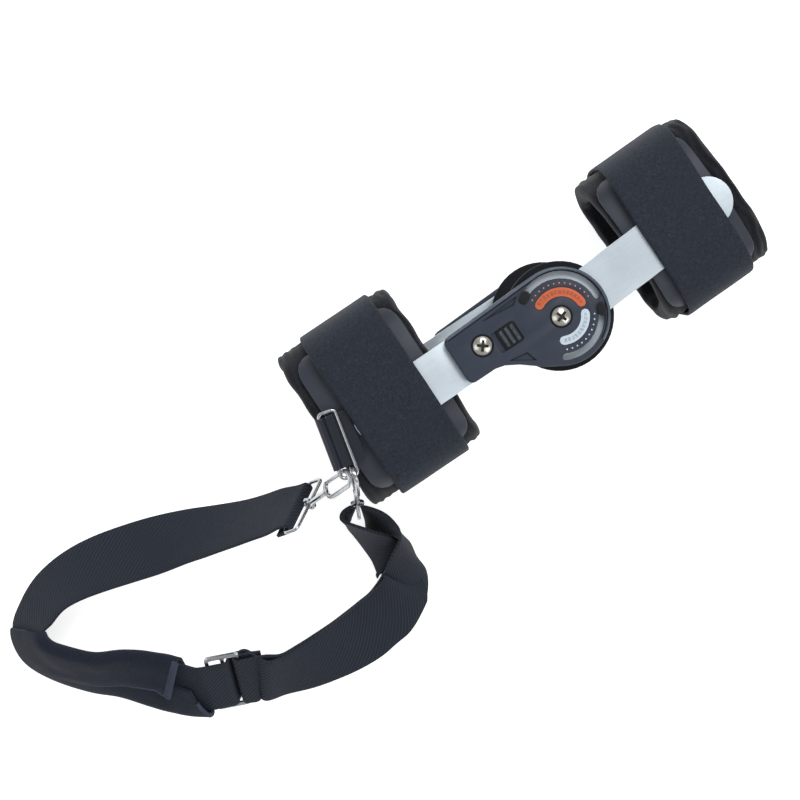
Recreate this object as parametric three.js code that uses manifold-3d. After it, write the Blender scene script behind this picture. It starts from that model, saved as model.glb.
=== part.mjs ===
// Hinged elbow brace with a shoulder sling, in millimetres, +Z up.
// The brace lies on its back. X runs along the arm towards the upper arm, Y across it, and the
// hinge axis is the Z axis. The origin is on the back hinge's flat outer face.
import * as THREE from 'three';
import { mergeVertices } from 'three/addons/utils/BufferGeometryUtils.js';
import Module from 'manifold-3d';

const wasm = await Module();
wasm.setup();

// Whole brace
const HEIGHT = 111;
const MIDDLE = HEIGHT / 2;
const GAP = 0.3;
const UPPER_ARM_TURN = 4;
const UPPER_CUFF_TURN = -2.6;

// Hinge
const COVER_THICK = 5.6;
const COVER_BEVEL = 0.8;
const COVER_RADIUS = 31;
const BASE_RADIUS = 34.5;
const BASE_THICK = 4;
const LEVER_END = -70.4;
const LEVER_TOP = 28.6;
const LEVER_BOTTOM = -4.5;
const SHAFT_RADIUS = 3;
const SCREW_RADIUS = 6;
const LEVER_SCREW = { x: -50.9, y: 12.1 };
const FLEXION_SLOT = { radius: 26, width: 4.7, from: -3, to: 121.6, button: 119.3 };
const EXTENSION_SLOT = { radius: 25.5, width: 4.5, from: -116.6, to: -20.6, button: -23 };
const FLEXION_LABEL = { radius: 15.3, width: 5.7, from: 1.3, to: 119.7 };
const EXTENSION_LABEL = { radius: 15.1, width: 5.6, from: -116.7, to: -25.7 };
const STOP_HEAD = { along: 8.2, across: 5.7, height: 1.6 };
const STOP_STEM = { along: 5.8, across: 3.9 };
const SLIDER = { x: -33.3, y: 8.1, along: 13, across: 13.4, travel: 3.5, sunk: 1.8, proud: 1 };

// Bars
const BAR_WIDTH = 32;
const BAR_THICK = 2.8;
const BAR_DISC_RADIUS = 29;
const UPPER_BACK_BAR = { width: 27, y: -5.2 };
const BAR_HINGE_TOP = HEIGHT - COVER_THICK - GAP;
const BAR_CUFF_TOP = 107.2;

// Cuffs: a padded liner, a shell on its front and its back, and a wide strap round all of them
const STRAP_THICK = 2.5;
const STRAP_POWER = 3;
const LINER_THICK = 8;
const LINER_HALF_HEIGHT = 46;
const LINER_POWER = 2.6;
const SHELL_THICK = 2.3;
const SHELL_REACH = 56;
const SHELL_CORNER = 11;
const FOREARM = {
  liner: [-160.5, -80], shell: [-157, -84], strap: [-144.3, -92.5],
  centreY: 18, halfWidth: 60, barY: 11.5, barTip: -145, jog: [-82, -72],
};
const UPPER_ARM = {
  liner: [59.5, 139.5], shell: [62, 128], strap: [70.5, 120.5],
  centreY: 1.2, halfWidth: 56.1, barY: 0, barTip: 132, jog: [58, 46],
};

// Sling hardware
const WIRE = 2.4;
const RING = { x: -159.5, y: 10.75, z: 107.4, turn: -13, across: 11, along: 43, corner: 2 };
const RING_BAND = { from: -15, to: 19, thick: 1.5, reach: 13.3 };
const HOOK = {
  thick: 2.4, halfWidth: 6.2, wall: 2.6, reach: 52, play: 1.4, eye: 34, tail: 4.6, tailHole: 2.6,
};
const GATE = { width: 2.4, thick: 2.2 };
const WEB_LOOP = { along: 48, across: 11, corner: 3 };
const BUCKLE = { along: 23.4, across: 50.6, offset: 1, thick: 2.4, bar: 2.6, slot: 44.4, corner: 3 };

// Sling webbing
const WEB_WIDTH = 41;
const WEB_THICK = 2;
const WEB_STEP = 2.5;
const PAD = { width: 48, thick: 10.6, slotWidth: 43, slotThick: 5.2, slant: 1, slantRows: 3 };

const COLOURS = {
  foam: [0x15171b, 0.95, 0],
  shell: [0x23272e, 0.7, 0],
  strap: [0x333b45, 0.75, 0],
  cover: [0x3b4556, 0.5, 0],
  dark: [0x17191d, 0.6, 0],
  bar: [0xc8d2db, 0.45, 0.6],
  steel: [0xb9bec4, 0.3, 0.9],
  orange: [0xe5703f, 0.55, 0],
  white: [0xe8ebee, 0.55, 0],
  band: [0x222c40, 0.4, 0],
  webbing: [0x2b313c, 0.85, 0],
};

const brace = new THREE.Group();
const upperArm = new THREE.Group();
upperArm.rotation.z = THREE.MathUtils.degToRad(UPPER_ARM_TURN);
brace.add(upperArm);
const upperCuff = new THREE.Group();
upperCuff.rotation.z = THREE.MathUtils.degToRad(UPPER_CUFF_TURN);
upperCuff.position.y = 4.3;
upperArm.add(upperCuff);

function addMesh(name, geometry, colourName, parent = brace) {
  const [color, roughness, metalness] = COLOURS[colourName];
  const material = new THREE.MeshStandardMaterial({ color, roughness, metalness });
  const mesh = new THREE.Mesh(geometry, material);
  mesh.name = name;
  parent.add(mesh);
  return mesh;
}

function solidOf(geometry) {
  const bare = geometry.clone();
  bare.deleteAttribute('normal');
  bare.deleteAttribute('uv');
  const merged = mergeVertices(bare, 1e-4);
  const triVerts = new Uint32Array(merged.index.array);
  const vertProperties = merged.attributes.position.array;
  return new wasm.Manifold(new wasm.Mesh({ numProp: 3, vertProperties, triVerts }));
}

function geometryOf(solid) {
  const mesh = solid.getMesh();
  const geometry = new THREE.BufferGeometry();
  geometry.setAttribute('position', new THREE.BufferAttribute(mesh.vertProperties, 3));
  geometry.setIndex(new THREE.BufferAttribute(mesh.triVerts, 1));
  return geometry;
}

function cut(geometry, tools) {
  let solid = solidOf(geometry);
  for (const tool of tools) {
    solid = solid.subtract(solidOf(tool));
  }
  return geometryOf(solid);
}

function join(geometries) {
  let solid = solidOf(geometries[0]);
  for (const other of geometries.slice(1)) {
    solid = solid.add(solidOf(other));
  }
  return geometryOf(solid);
}

function common(first, second) {
  return geometryOf(solidOf(first).intersect(solidOf(second)));
}

// The same piece on the back of the brace.
function onBack(geometry) {
  const back = geometry.clone();
  back.applyMatrix4(new THREE.Matrix4().makeScale(1, 1, -1));
  back.translate(0, 0, HEIGHT);
  const flat = back.index ? back.toNonIndexed() : back;
  const position = flat.attributes.position;
  const b = new THREE.Vector3();
  const c = new THREE.Vector3();
  for (let i = 0; i < position.count; i += 3) {
    b.fromBufferAttribute(position, i + 1);
    c.fromBufferAttribute(position, i + 2);
    position.setXYZ(i + 1, c.x, c.y, c.z);
    position.setXYZ(i + 2, b.x, b.y, b.z);
  }
  return flat;
}

// Closed loops of points joined one to the next, with capped ends unless the sweep closes on itself.
function sweep(sections, closed = false) {
  const count = sections[0].length;
  const triangles = [];
  const joins = closed ? sections.length : sections.length - 1;
  for (let i = 0; i < joins; i += 1) {
    const here = sections[i];
    const next = sections[(i + 1) % sections.length];
    for (let j = 0; j < count; j += 1) {
      const k = (j + 1) % count;
      triangles.push(here[j], next[j], next[k]);
      triangles.push(here[j], next[k], here[k]);
    }
  }
  if (!closed) {
    const last = sections[sections.length - 1];
    for (let j = 1; j < count - 1; j += 1) {
      triangles.push(sections[0][0], sections[0][j], sections[0][j + 1]);
      triangles.push(last[0], last[j + 1], last[j]);
    }
  }
  let volume = 0;
  for (let i = 0; i < triangles.length; i += 3) {
    volume += triangles[i].clone().cross(triangles[i + 1]).dot(triangles[i + 2]);
  }
  if (volume < 0) {
    triangles.reverse();
  }
  return new THREE.BufferGeometry().setFromPoints(triangles);
}

function plate(points, from, to, holes = []) {
  const shape = new THREE.Shape(points);
  for (const hole of holes) {
    shape.holes.push(new THREE.Path(hole));
  }
  const geometry = new THREE.ExtrudeGeometry(shape, { depth: to - from, bevelEnabled: false });
  return geometry.translate(0, 0, from);
}

function bevelledPlate(points, from, to, bevel, holes = []) {
  const shape = new THREE.Shape(points);
  for (const hole of holes) {
    shape.holes.push(new THREE.Path(hole));
  }
  const geometry = new THREE.ExtrudeGeometry(shape, {
    depth: to - from - 2 * bevel,
    bevelEnabled: true,
    bevelThickness: bevel,
    bevelSize: bevel,
    bevelOffset: -bevel,
    bevelSegments: 1,
  });
  return geometry.translate(0, 0, from + bevel);
}

function arc(x, y, radius, from, to, steps) {
  const points = [];
  for (let i = 0; i <= steps; i += 1) {
    const angle = THREE.MathUtils.degToRad(from + ((to - from) * i) / steps);
    points.push(new THREE.Vector2(x + radius * Math.cos(angle), y + radius * Math.sin(angle)));
  }
  return points;
}

function circle(x, y, radius, steps = 24) {
  return arc(x, y, radius, 0, 360 - 360 / steps, steps - 1);
}

// An arc-shaped band round the hinge axis with round ends.
function arcBand(spec, grow = 0) {
  const half = spec.width / 2 + grow;
  const a = THREE.MathUtils.degToRad(spec.from);
  const b = THREE.MathUtils.degToRad(spec.to);
  const r = spec.radius;
  return [
    ...arc(0, 0, r + half, spec.from, spec.to, 14),
    ...arc(r * Math.cos(b), r * Math.sin(b), half, spec.to, spec.to + 180, 4).slice(1, -1),
    ...arc(0, 0, r - half, spec.to, spec.from, 14),
    ...arc(r * Math.cos(a), r * Math.sin(a), half, spec.from + 180, spec.from + 360, 4).slice(1, -1),
  ];
}

function roundedRectangle(x0, y0, x1, y1, radius, steps = 4) {
  return [
    ...arc(x1 - radius, y1 - radius, radius, 0, 90, steps),
    ...arc(x0 + radius, y1 - radius, radius, 90, 180, steps),
    ...arc(x0 + radius, y0 + radius, radius, 180, 270, steps),
    ...arc(x1 - radius, y0 + radius, radius, 270, 360, steps),
  ];
}

// A rectangular ring of wire, its sides given between wire centres.
function wireRing(across, along, corner) {
  const out = WIRE / 2;
  const outer = roundedRectangle(
    -across / 2 - out, -along / 2 - out, across / 2 + out, along / 2 + out, corner + out, 2);
  const inner = roundedRectangle(
    -across / 2 + out, -along / 2 + out, across / 2 - out, along / 2 - out, corner - out, 2);
  return bevelledPlate(outer, -out, out, 0.65, [inner.reverse()]);
}

function pin(x, y, from, to, radius = SHAFT_RADIUS) {
  return plate(circle(x, y, radius), from, to);
}

function placed(origin, xAxis, yAxis) {
  const x = xAxis.clone().normalize();
  const y = yAxis.clone().addScaledVector(x, -yAxis.dot(x)).normalize();
  const z = x.clone().cross(y);
  const group = new THREE.Group();
  const basis = new THREE.Matrix4().makeBasis(x, y, z);
  group.quaternion.setFromRotationMatrix(basis);
  group.position.copy(origin);
  brace.add(group);
  return group;
}

// Cuffs

// A point of a cuff's oval at an angle from +Y, pushed out by a depth along the oval's normal.
function ovalPoint(cuff, halfWidth, halfHeight, power, angle, x, depth) {
  const c = Math.cos(angle);
  const s = Math.sin(angle);
  const sum = Math.abs(c / halfWidth) ** power + Math.abs(s / halfHeight) ** power;
  const radius = sum ** (-1 / power);
  const y = radius * c;
  const z = radius * s;
  const ny = Math.sign(y) * Math.abs(y / halfWidth) ** (power - 1) / halfWidth;
  const nz = Math.sign(z) * Math.abs(z / halfHeight) ** (power - 1) / halfHeight;
  const size = Math.hypot(ny, nz);
  return new THREE.Vector3(x, cuff.centreY + y + (depth * ny) / size, MIDDLE + z + (depth * nz) / size);
}

function cuffRing(cuff, halfWidth, halfHeight, power, outline, steps) {
  const sections = [];
  for (let i = 0; i < steps; i += 1) {
    const angle = (2 * Math.PI * i) / steps;
    sections.push(outline.map(([x, depth]) =>
      ovalPoint(cuff, halfWidth, halfHeight, power, angle, x, depth)));
  }
  return sweep(sections, true);
}

function linerGeometry(cuff) {
  const [a, b] = cuff.liner;
  const halfWidth = cuff.halfWidth - STRAP_THICK - GAP;
  const t = LINER_THICK;
  const outline = [
    [a, -t / 2], [a + 1.2, -1.3], [a + 4, 0], [b - 4, 0], [b - 1.2, -1.3],
    [b, -t / 2], [b - 1.2, 1.3 - t], [b - 4, -t], [a + 4, -t], [a + 1.2, 1.3 - t],
  ];
  return cuffRing(cuff, halfWidth, LINER_HALF_HEIGHT, LINER_POWER, outline, 36);
}

function strapGeometry(cuff) {
  const [a, b] = cuff.strap;
  const t = STRAP_THICK;
  const outline = [
    [a, -0.5], [a + 0.5, 0], [b - 0.5, 0], [b, -0.5],
    [b, 0.5 - t], [b - 0.5, -t], [a + 0.5, -t], [a, 0.5 - t],
  ];
  return cuffRing(cuff, cuff.halfWidth, MIDDLE, STRAP_POWER, outline, 40);
}

function shellGeometry(cuff) {
  const [a, b] = cuff.shell;
  const halfWidth = cuff.halfWidth - STRAP_THICK - GAP;
  const sections = [];
  const steps = 20;
  for (let i = 0; i <= steps; i += 1) {
    const turn = -SHELL_REACH * Math.cos((Math.PI * i) / steps);
    const fromEnd = (SHELL_REACH - Math.abs(turn)) * 0.87;
    const near = Math.max(0, SHELL_CORNER - fromEnd);
    const inset = SHELL_CORNER - Math.sqrt(SHELL_CORNER ** 2 - near ** 2) * 0.98;
    const rim = near > 0 ? inset : 0;
    const angle = THREE.MathUtils.degToRad(90 + turn);
    const low = GAP;
    const high = GAP + SHELL_THICK;
    const outline = [[a + rim, low], [a + rim, high], [b - rim, high], [b - rim, low]];
    sections.push(outline.map(([x, depth]) =>
      ovalPoint(cuff, halfWidth, LINER_HALF_HEIGHT, LINER_POWER, angle, x, depth)));
  }
  return sweep(sections);
}

// A flat bar that steps down from the cuff's shell to the hinge.
function barGeometry(cuff, outlines) {
  const tip = cuff.barTip;
  const sign = Math.sign(tip);
  const hingeBottom = BAR_HINGE_TOP - BAR_THICK;
  const cuffBottom = BAR_CUFF_TOP - BAR_THICK;
  const past = -sign * 60;
  const profile = [
    [past, hingeBottom], [cuff.jog[1], hingeBottom], [cuff.jog[0], cuffBottom], [tip + sign * 5, cuffBottom],
    [tip + sign * 5, BAR_CUFF_TOP], [cuff.jog[0], BAR_CUFF_TOP], [cuff.jog[1], BAR_HINGE_TOP],
    [past, BAR_HINGE_TOP],
  ].map(([x, z]) => new THREE.Vector2(x, z));
  const reach = 100;
  const slab = new THREE.ExtrudeGeometry(new THREE.Shape(profile), { depth: reach, bevelEnabled: false });
  slab.rotateX(Math.PI / 2);
  slab.translate(0, cuff.barY + reach / 2, 0);
  return common(join(outlines.map((outline) => plate(outline, 90, 115))), slab);
}

// The forearm bars end in a hollow that clears the round end of the upper arm's bars.
const half = BAR_WIDTH / 2;
const hollow = BAR_DISC_RADIUS + 4 * GAP;
const hollowLow = 180 + THREE.MathUtils.radToDeg(Math.asin((half - FOREARM.barY) / hollow));
const hollowHigh = 180 - THREE.MathUtils.radToDeg(Math.asin((half + FOREARM.barY) / hollow));
const forearmOutline = [
  ...arc(FOREARM.barTip + half, FOREARM.barY, half, 90, 270, 16),
  ...arc(0, 0, hollow, hollowLow, hollowHigh, 12),
];
const leverHole = pin(LEVER_SCREW.x, LEVER_SCREW.y, 90, 115, SHAFT_RADIUS + GAP);
const pivotHole = pin(0, 0, 90, 115, SHAFT_RADIUS + GAP);
const forearmBar = cut(barGeometry(FOREARM, [forearmOutline]), [leverHole]);

// An upper arm bar with its round end on the pivot. The back one is narrower and sits lower.
function upperBar(width, y) {
  const side = width / 2;
  const strip = [
    ...arc(UPPER_ARM.barTip - side, y, side, -90, 90, 16),
    new THREE.Vector2(0, y + side),
    new THREE.Vector2(0, y - side),
  ];
  return cut(barGeometry(UPPER_ARM, [circle(0, 0, BAR_DISC_RADIUS, 40), strip]), [pivotHole]);
}

addMesh('forearm_liner', linerGeometry(FOREARM), 'foam');
addMesh('forearm_shell_front', shellGeometry(FOREARM), 'shell');
addMesh('forearm_shell_back', onBack(shellGeometry(FOREARM)), 'shell');
addMesh('forearm_strap', strapGeometry(FOREARM), 'strap');
addMesh('forearm_bar_front', forearmBar, 'bar');
addMesh('forearm_bar_back', onBack(forearmBar), 'bar');
addMesh('upper_liner', linerGeometry(UPPER_ARM), 'foam', upperCuff);
addMesh('upper_shell_front', shellGeometry(UPPER_ARM), 'shell', upperCuff);
addMesh('upper_shell_back', onBack(shellGeometry(UPPER_ARM)), 'shell', upperCuff);
addMesh('upper_strap', strapGeometry(UPPER_ARM), 'strap', upperCuff);
addMesh('upper_bar_front', upperBar(BAR_WIDTH, UPPER_ARM.barY), 'bar', upperArm);
addMesh('upper_bar_back', onBack(upperBar(UPPER_BACK_BAR.width, UPPER_BACK_BAR.y)), 'bar', upperArm);

// Hinges

// The round cover and the lever arm that runs from it over the forearm bar.
const coverOutline = [
  ...arc(0, 0, COVER_RADIUS, -125, 92, 36),
  ...arc(LEVER_END + 5, LEVER_TOP - 5, 5, 92, 180, 4),
  ...arc(LEVER_END + 4, LEVER_BOTTOM + 4, 4, 180, 270, 4),
  new THREE.Vector2(-52, LEVER_BOTTOM),
  new THREE.Vector2(-46, -6),
  new THREE.Vector2(-38, -10.7),
  new THREE.Vector2(-31, -16.4),
  new THREE.Vector2(-25, -21.2),
];
const coverFrom = HEIGHT - COVER_THICK;
const through = [coverFrom - 1, HEIGHT + 1];
const triangles = [
  [[-42.7, 24.7], [-20.9, 22.6], [-16.4, 26]],
  [[-41.9, -5], [-27.8, -14], [-30, -7]],
].map((corners) => corners.map(([x, y]) => new THREE.Vector2(x, y)));
const sliderBed = roundedRectangle(
  SLIDER.x - SLIDER.along / 2 - SLIDER.travel - GAP, SLIDER.y - SLIDER.across / 2 - GAP,
  SLIDER.x + SLIDER.along / 2 + GAP, SLIDER.y + SLIDER.across / 2 + GAP, 1.5);
const plainCover = bevelledPlate(coverOutline, coverFrom, HEIGHT, COVER_BEVEL);
const frontCover = cut(plainCover, [
  pivotHole,
  leverHole,
  plate(arcBand(FLEXION_SLOT), ...through),
  plate(arcBand(EXTENSION_SLOT), ...through),
  plate(arcBand(FLEXION_LABEL, GAP), HEIGHT - 0.8, HEIGHT + 1),
  plate(arcBand(EXTENSION_LABEL, GAP), HEIGHT - 0.8, HEIGHT + 1),
  plate(sliderBed, HEIGHT - SLIDER.sunk, HEIGHT + 1),
  plate(triangles[0], HEIGHT - 1, HEIGHT + 1),
  plate(triangles[1], HEIGHT - 1, HEIGHT + 1),
]);
const pinTop = HEIGHT - 2;
const backCover = cut(plainCover, [
  pin(0, 0, coverFrom - 1, pinTop + GAP, SHAFT_RADIUS + GAP),
  pin(LEVER_SCREW.x, LEVER_SCREW.y, coverFrom - 1, pinTop + GAP, SHAFT_RADIUS + GAP),
]);
const baseTop = BAR_HINGE_TOP - BAR_THICK - GAP;
// The round base disc behind the bars.
const baseDisc = bevelledPlate(circle(0, 0, BASE_RADIUS, 48), baseTop - BASE_THICK, baseTop, 0.6);
const base = cut(baseDisc, [pivotHole]);

function screw(x, y, bottom) {
  const low = HEIGHT + GAP;
  const profile = [
    [0, bottom], [SHAFT_RADIUS, bottom], [SHAFT_RADIUS, low], [SCREW_RADIUS, low],
    [SCREW_RADIUS, low + 0.6], [SCREW_RADIUS * 0.8, low + 1.4], [SCREW_RADIUS * 0.4, low + 1.9], [0, low + 2],
  ].map(([r, z]) => new THREE.Vector2(r, z));
  const geometry = new THREE.LatheGeometry(profile, 16);
  return geometry.rotateX(Math.PI / 2).translate(x, y, 0);
}

addMesh('hinge_cover_front', frontCover, 'cover');
addMesh('hinge_cover_back', onBack(backCover), 'cover');
addMesh('hinge_base_front', base, 'dark');
addMesh('hinge_base_back', onBack(base), 'dark');
addMesh('pivot_screw', screw(0, 0, baseTop - BASE_THICK), 'steel');
addMesh('lever_screw', screw(LEVER_SCREW.x, LEVER_SCREW.y, BAR_HINGE_TOP - BAR_THICK), 'steel');
addMesh('pivot_pin_back', onBack(pin(0, 0, baseTop - BASE_THICK, pinTop)), 'steel');
addMesh('lever_pin_back', onBack(
  pin(LEVER_SCREW.x, LEVER_SCREW.y, BAR_HINGE_TOP - BAR_THICK, pinTop)), 'steel');
addMesh('flexion_label', plate(arcBand(FLEXION_LABEL), HEIGHT - 0.5, HEIGHT), 'orange');
addMesh('extension_label', plate(arcBand(EXTENSION_LABEL), HEIGHT - 0.5, HEIGHT), 'white');

// A stop button: an oval head on a stem that runs in its arc slot.
function stopButton(slot) {
  const { along, across, height } = STOP_HEAD;
  const oval = (a, b) => roundedRectangle(-a / 2, -b / 2, a / 2, b / 2, a / 2 - 0.05, 5);
  const head = bevelledPlate(oval(across, along), HEIGHT + GAP, HEIGHT + GAP + height, 0.5);
  const stem = plate(
    oval(STOP_STEM.across, STOP_STEM.along), BAR_HINGE_TOP + 0.6, HEIGHT + GAP + height / 2);
  const button = join([head, stem]);
  button.translate(slot.radius, 0, 0);
  return button.rotateZ(THREE.MathUtils.degToRad(slot.button));
}

// The lock slider: a small block with three ribs across it.
function lockSlider() {
  const bottom = HEIGHT - SLIDER.sunk + GAP;
  const top = HEIGHT + SLIDER.proud;
  const a = SLIDER.along / 2;
  const b = SLIDER.across / 2;
  const block = bevelledPlate(roundedRectangle(-a, -b, a, b, 1.2, 2), bottom, top, 0.4);
  const ribs = [-3.9, 0, 3.9].map((x) =>
    bevelledPlate(roundedRectangle(x - 1.2, -b + 1, x + 1.2, b - 1, 0.8, 2), top - 0.5, top + 1, 0.4));
  return join([block, ...ribs]).translate(SLIDER.x, SLIDER.y, 0);
}

addMesh('flexion_stop', stopButton(FLEXION_SLOT), 'dark');
addMesh('extension_stop', stopButton(EXTENSION_SLOT), 'dark');
addMesh('lock_slider', lockSlider(), 'dark');

// Sling hardware

const ringTurn = THREE.MathUtils.degToRad(RING.turn);
const ringX = new THREE.Vector3(Math.cos(ringTurn), Math.sin(ringTurn), 0);
const ringY = new THREE.Vector3(-Math.sin(ringTurn), Math.cos(ringTurn), 0);
const ringPlace = placed(new THREE.Vector3(RING.x, RING.y, RING.z), ringX, ringY);
addMesh('sling_ring', wireRing(RING.across, RING.along, RING.corner), 'steel', ringPlace);

// The band that holds the ring: it lies on the shell, passes under the ring's near side, wraps its
// far side and is sewn down on itself. The route is a chain of offsets across the ring and heights.
const bandRadius = WIRE / 2 + GAP + RING_BAND.thick / 2;
const wrapX = -RING.across / 2;
const bandRoute = [
  [RING_BAND.reach, -bandRadius],
  ...arc(wrapX, 0, bandRadius, 270, 90, 8).map((p) => [p.x, p.y]),
  [wrapX + 2.6, 2], [wrapX + 5, 0.4], [wrapX + 6.6, -0.5], [wrapX + 8.4, -0.5],
].map(([x, z]) => new THREE.Vector2(x, z));

function thickLine(route, thick) {
  const left = [];
  const right = [];
  route.forEach((p, i) => {
    const before = route[Math.max(0, i - 1)];
    const after = route[Math.min(route.length - 1, i + 1)];
    const along = after.clone().sub(before).normalize();
    const side = new THREE.Vector2(-along.y, along.x).multiplyScalar(thick / 2);
    left.push(p.clone().add(side));
    right.push(p.clone().sub(side));
  });
  return [...left, ...right.reverse()];
}

const bandGeometry = plate(
  thickLine(bandRoute, RING_BAND.thick).reverse(), -RING_BAND.to, -RING_BAND.from);
addMesh('ring_band', bandGeometry.rotateX(Math.PI / 2), 'band', ringPlace);

// A snap hook: a long eye with a gap that the gate closes, a round neck, and a small tail eye turned
// on the neck. The tail eye's centre is the hook's own origin and Y runs to the nose.
const eyeTop = HOOK.reach + WIRE / 2 + HOOK.play + HOOK.wall;
const eyeBottom = eyeTop - HOOK.eye;
const gateX = HOOK.halfWidth - HOOK.wall / 2;
const gateFoot = eyeBottom + HOOK.halfWidth;
const gateTip = eyeTop - HOOK.halfWidth;

function hookBody(tailTurn) {
  const h = HOOK.thick / 2;
  const w = HOOK.halfWidth;
  const inner = w - HOOK.wall;
  const outer = roundedRectangle(-w, eyeBottom, w, eyeTop, w - 0.05, 5);
  const hole = roundedRectangle(
    -inner, eyeBottom + HOOK.wall, inner, eyeTop - HOOK.wall, inner - 0.05, 5);
  const eye = bevelledPlate(outer, -h, h, 0.5, [hole.reverse()]);
  const window = plate(
    roundedRectangle(inner - 1, gateFoot - 1.6, w + 2, gateTip, 0.4, 2), -h - 1, h + 1);
  const neck = new THREE.CylinderGeometry(2, 2, eyeBottom - HOOK.tailHole, 10);
  neck.translate(0, (eyeBottom + HOOK.tailHole) / 2 + 0.9, 0);
  const tailHole = circle(0, 0, HOOK.tailHole, 14);
  const tail = bevelledPlate(circle(0, 0, HOOK.tail, 14), -1.3, 1.3, 0.4, [tailHole.slice().reverse()]);
  tail.rotateY(THREE.MathUtils.degToRad(tailTurn));
  const bore = plate(tailHole, -6, 6);
  bore.rotateY(THREE.MathUtils.degToRad(tailTurn));
  const closed = join([cut(eye, [window]), cut(neck, [bore])]);
  return join([closed, tail]);
}

// The gate turns about its foot, which is the gate mesh's own origin.
function hookGate() {
  const r = GATE.width / 2;
  const length = gateTip - gateFoot - GAP - 0.1;
  const outline = [...arc(0, 0, r, 180, 360, 8), ...arc(0, length - r, r, 0, 180, 8)];
  return bevelledPlate(outline, -GATE.thick / 2, GATE.thick / 2, 0.4);
}

function addHook(number, onRing, tail, tailTurn) {
  const up = onRing.clone().sub(tail).normalize();
  const face = ringX.clone().addScaledVector(up, -ringX.dot(up)).normalize();
  const place = placed(tail, up.clone().cross(face), up);
  addMesh(`hook_body_${number}`, hookBody(tailTurn), 'steel', place);
  const gate = addMesh(`hook_gate_${number}`, hookGate(), 'steel', place);
  gate.position.set(gateX, gateFoot, 0);
}

function onRingSide(across) {
  return new THREE.Vector3(RING.x, RING.y, RING.z)
    .addScaledVector(ringX, across)
    .addScaledVector(ringY, -RING.along / 2);
}

function hang(from, towards) {
  return from.clone().addScaledVector(towards.clone().normalize(), HOOK.reach);
}

const hookPoint1 = onRingSide(-2.8);
const hookPoint2 = onRingSide(2.4);
const tail1 = hang(hookPoint1, new THREE.Vector3(-29.5, -4.3, -39.5));
const tail2 = hang(hookPoint2, new THREE.Vector3(-10.5, -21, -46.5));
addHook(1, hookPoint1, tail1, 39);
addHook(2, hookPoint2, tail2, 80);

// Each web loop hangs in a hook's tail eye. The first leans with the strap, the second stands upright.
const loopLength1 = new THREE.Vector3(-0.602, -0.309, 0.736).normalize();
const loopAcross1 = new THREE.Vector3(-0.795, 0.149, -0.588).normalize();
const loopCentre1 = tail1.clone().addScaledVector(loopAcross1, WEB_LOOP.across / 2);
const loopBar1 = tail1.clone().addScaledVector(loopAcross1, WEB_LOOP.across);
const loopPlace1 = placed(loopCentre1, loopAcross1, loopLength1);
addMesh('web_loop_1', wireRing(WEB_LOOP.across, WEB_LOOP.along, WEB_LOOP.corner), 'steel', loopPlace1);
const loopAcross2 = new THREE.Vector3(-0.436, -0.9, 0).normalize();
const loopCentre2 = tail2.clone().addScaledVector(loopAcross2, 4.4);
loopCentre2.z -= WEB_LOOP.along / 2;
const loopPlace2 = placed(loopCentre2, loopAcross2, new THREE.Vector3(0, 0, 1));
addMesh('web_loop_2', wireRing(WEB_LOOP.across, WEB_LOOP.along, WEB_LOOP.corner), 'steel', loopPlace2);

// Sling webbing

// Each row is a centre point of the strap and the turn of its width, in degrees from level on the
// right of the way it runs towards straight up.
// x, y, z, turn
const outerStrand = [
  [-290.8, -98, 19, 140],
  [-279.4, -104.1, 17.2, 137],
  [-264.4, -108.2, 15.4, 144],
  [-250.5, -110.7, 13.5, 151],
  [-234.8, -112.7, 11.2, 159],
  [-220.5, -113.3, 9, 165],
  [-208.5, -112, 9.2, 163],
];

// The fold at the second hook stands on edge. Each row is a point of its upper edge and the point of
// its lower edge across the strap, from the outer strand round the hook's loop to the inner strand.
// upper x, y, z, lower x, y, z
const fold = [
  [-200, -91, 17, -192, -129, 4],
  [-186.5, -83.5, 26, -172.5, -119, 5],
  [-174.5, -76, 35, -162.5, -104, 5],
  [-164.5, -70, 42, -162.5, -90.5, 6],
  [-161, -65, 46.5, -161.5, -76, 8],
  [-159.5, -59.5, 50, -174, -67.5, 10],
  [-160.5, -50, 52, -180, -57.5, 12],
  [-166, -41.5, 54, -176, -48.5, 14],
  [-173.5, -33.5, 55.5, -173.3, -36.5, 15],
  [-178.5, -31.5, 55.5, -182, -41, 15],
  [-183.5, -31.5, 55.5, -185, -43.5, 14.5],
  [-186.5, -33.5, 55.5, -187, -44.5, 14.5],
  [-187, -36.5, 55.5, -188.5, -45.5, 14],
  [-183.5, -42, 54, -189, -48.5, 13.5],
  [-178, -49.5, 51, -188.5, -55.5, 11],
  [-173.5, -56.5, 46, -188, -66, 9],
  [-168.5, -64.5, 38, -188, -77, 6],
  [-168, -74.5, 26, -188.5, -86, 6.5],
];
const TUCKED = { x: -178, y: -91, z: 8, halfWidth: 10 };
const shoulderRun = [
  [-336, -79, 18, 36],
  [-345, -70, 16.5, 33],
  [-353.5, -60, 17, 34],
  [-368.5, -44, 19, 42],
  [-385, -31.5, 20.5, 50],
  [-401, -12, 21, 54],
  [-407, 2.5, 21.5, 55],
  [-404, 16, 20.5, 54],
  [-392.5, 23, 19, 51],
  [-380, 28, 18, 48],
  [-368, 29.4, 16.5, 44],
  [-355, 28.6, 15, 38],
  [-341, 26, 13.5, 32],
  [-325, 21.8, 12.5, 28],
  [-305, 16, 13.5, 28],
  [-283, 9.7, 18.5, 39],
  [-268, 4.6, 23.5, 46],
  [-256, 0.8, 28.5, 52],
  [-244, -2.6, 35, 57],
  [-232, -5.2, 42, 60],
  [-221, -7.2, 49.5, 61],
];
const PAD_ROWS = 7;

const UP = new THREE.Vector3(0, 0, 1);

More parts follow.
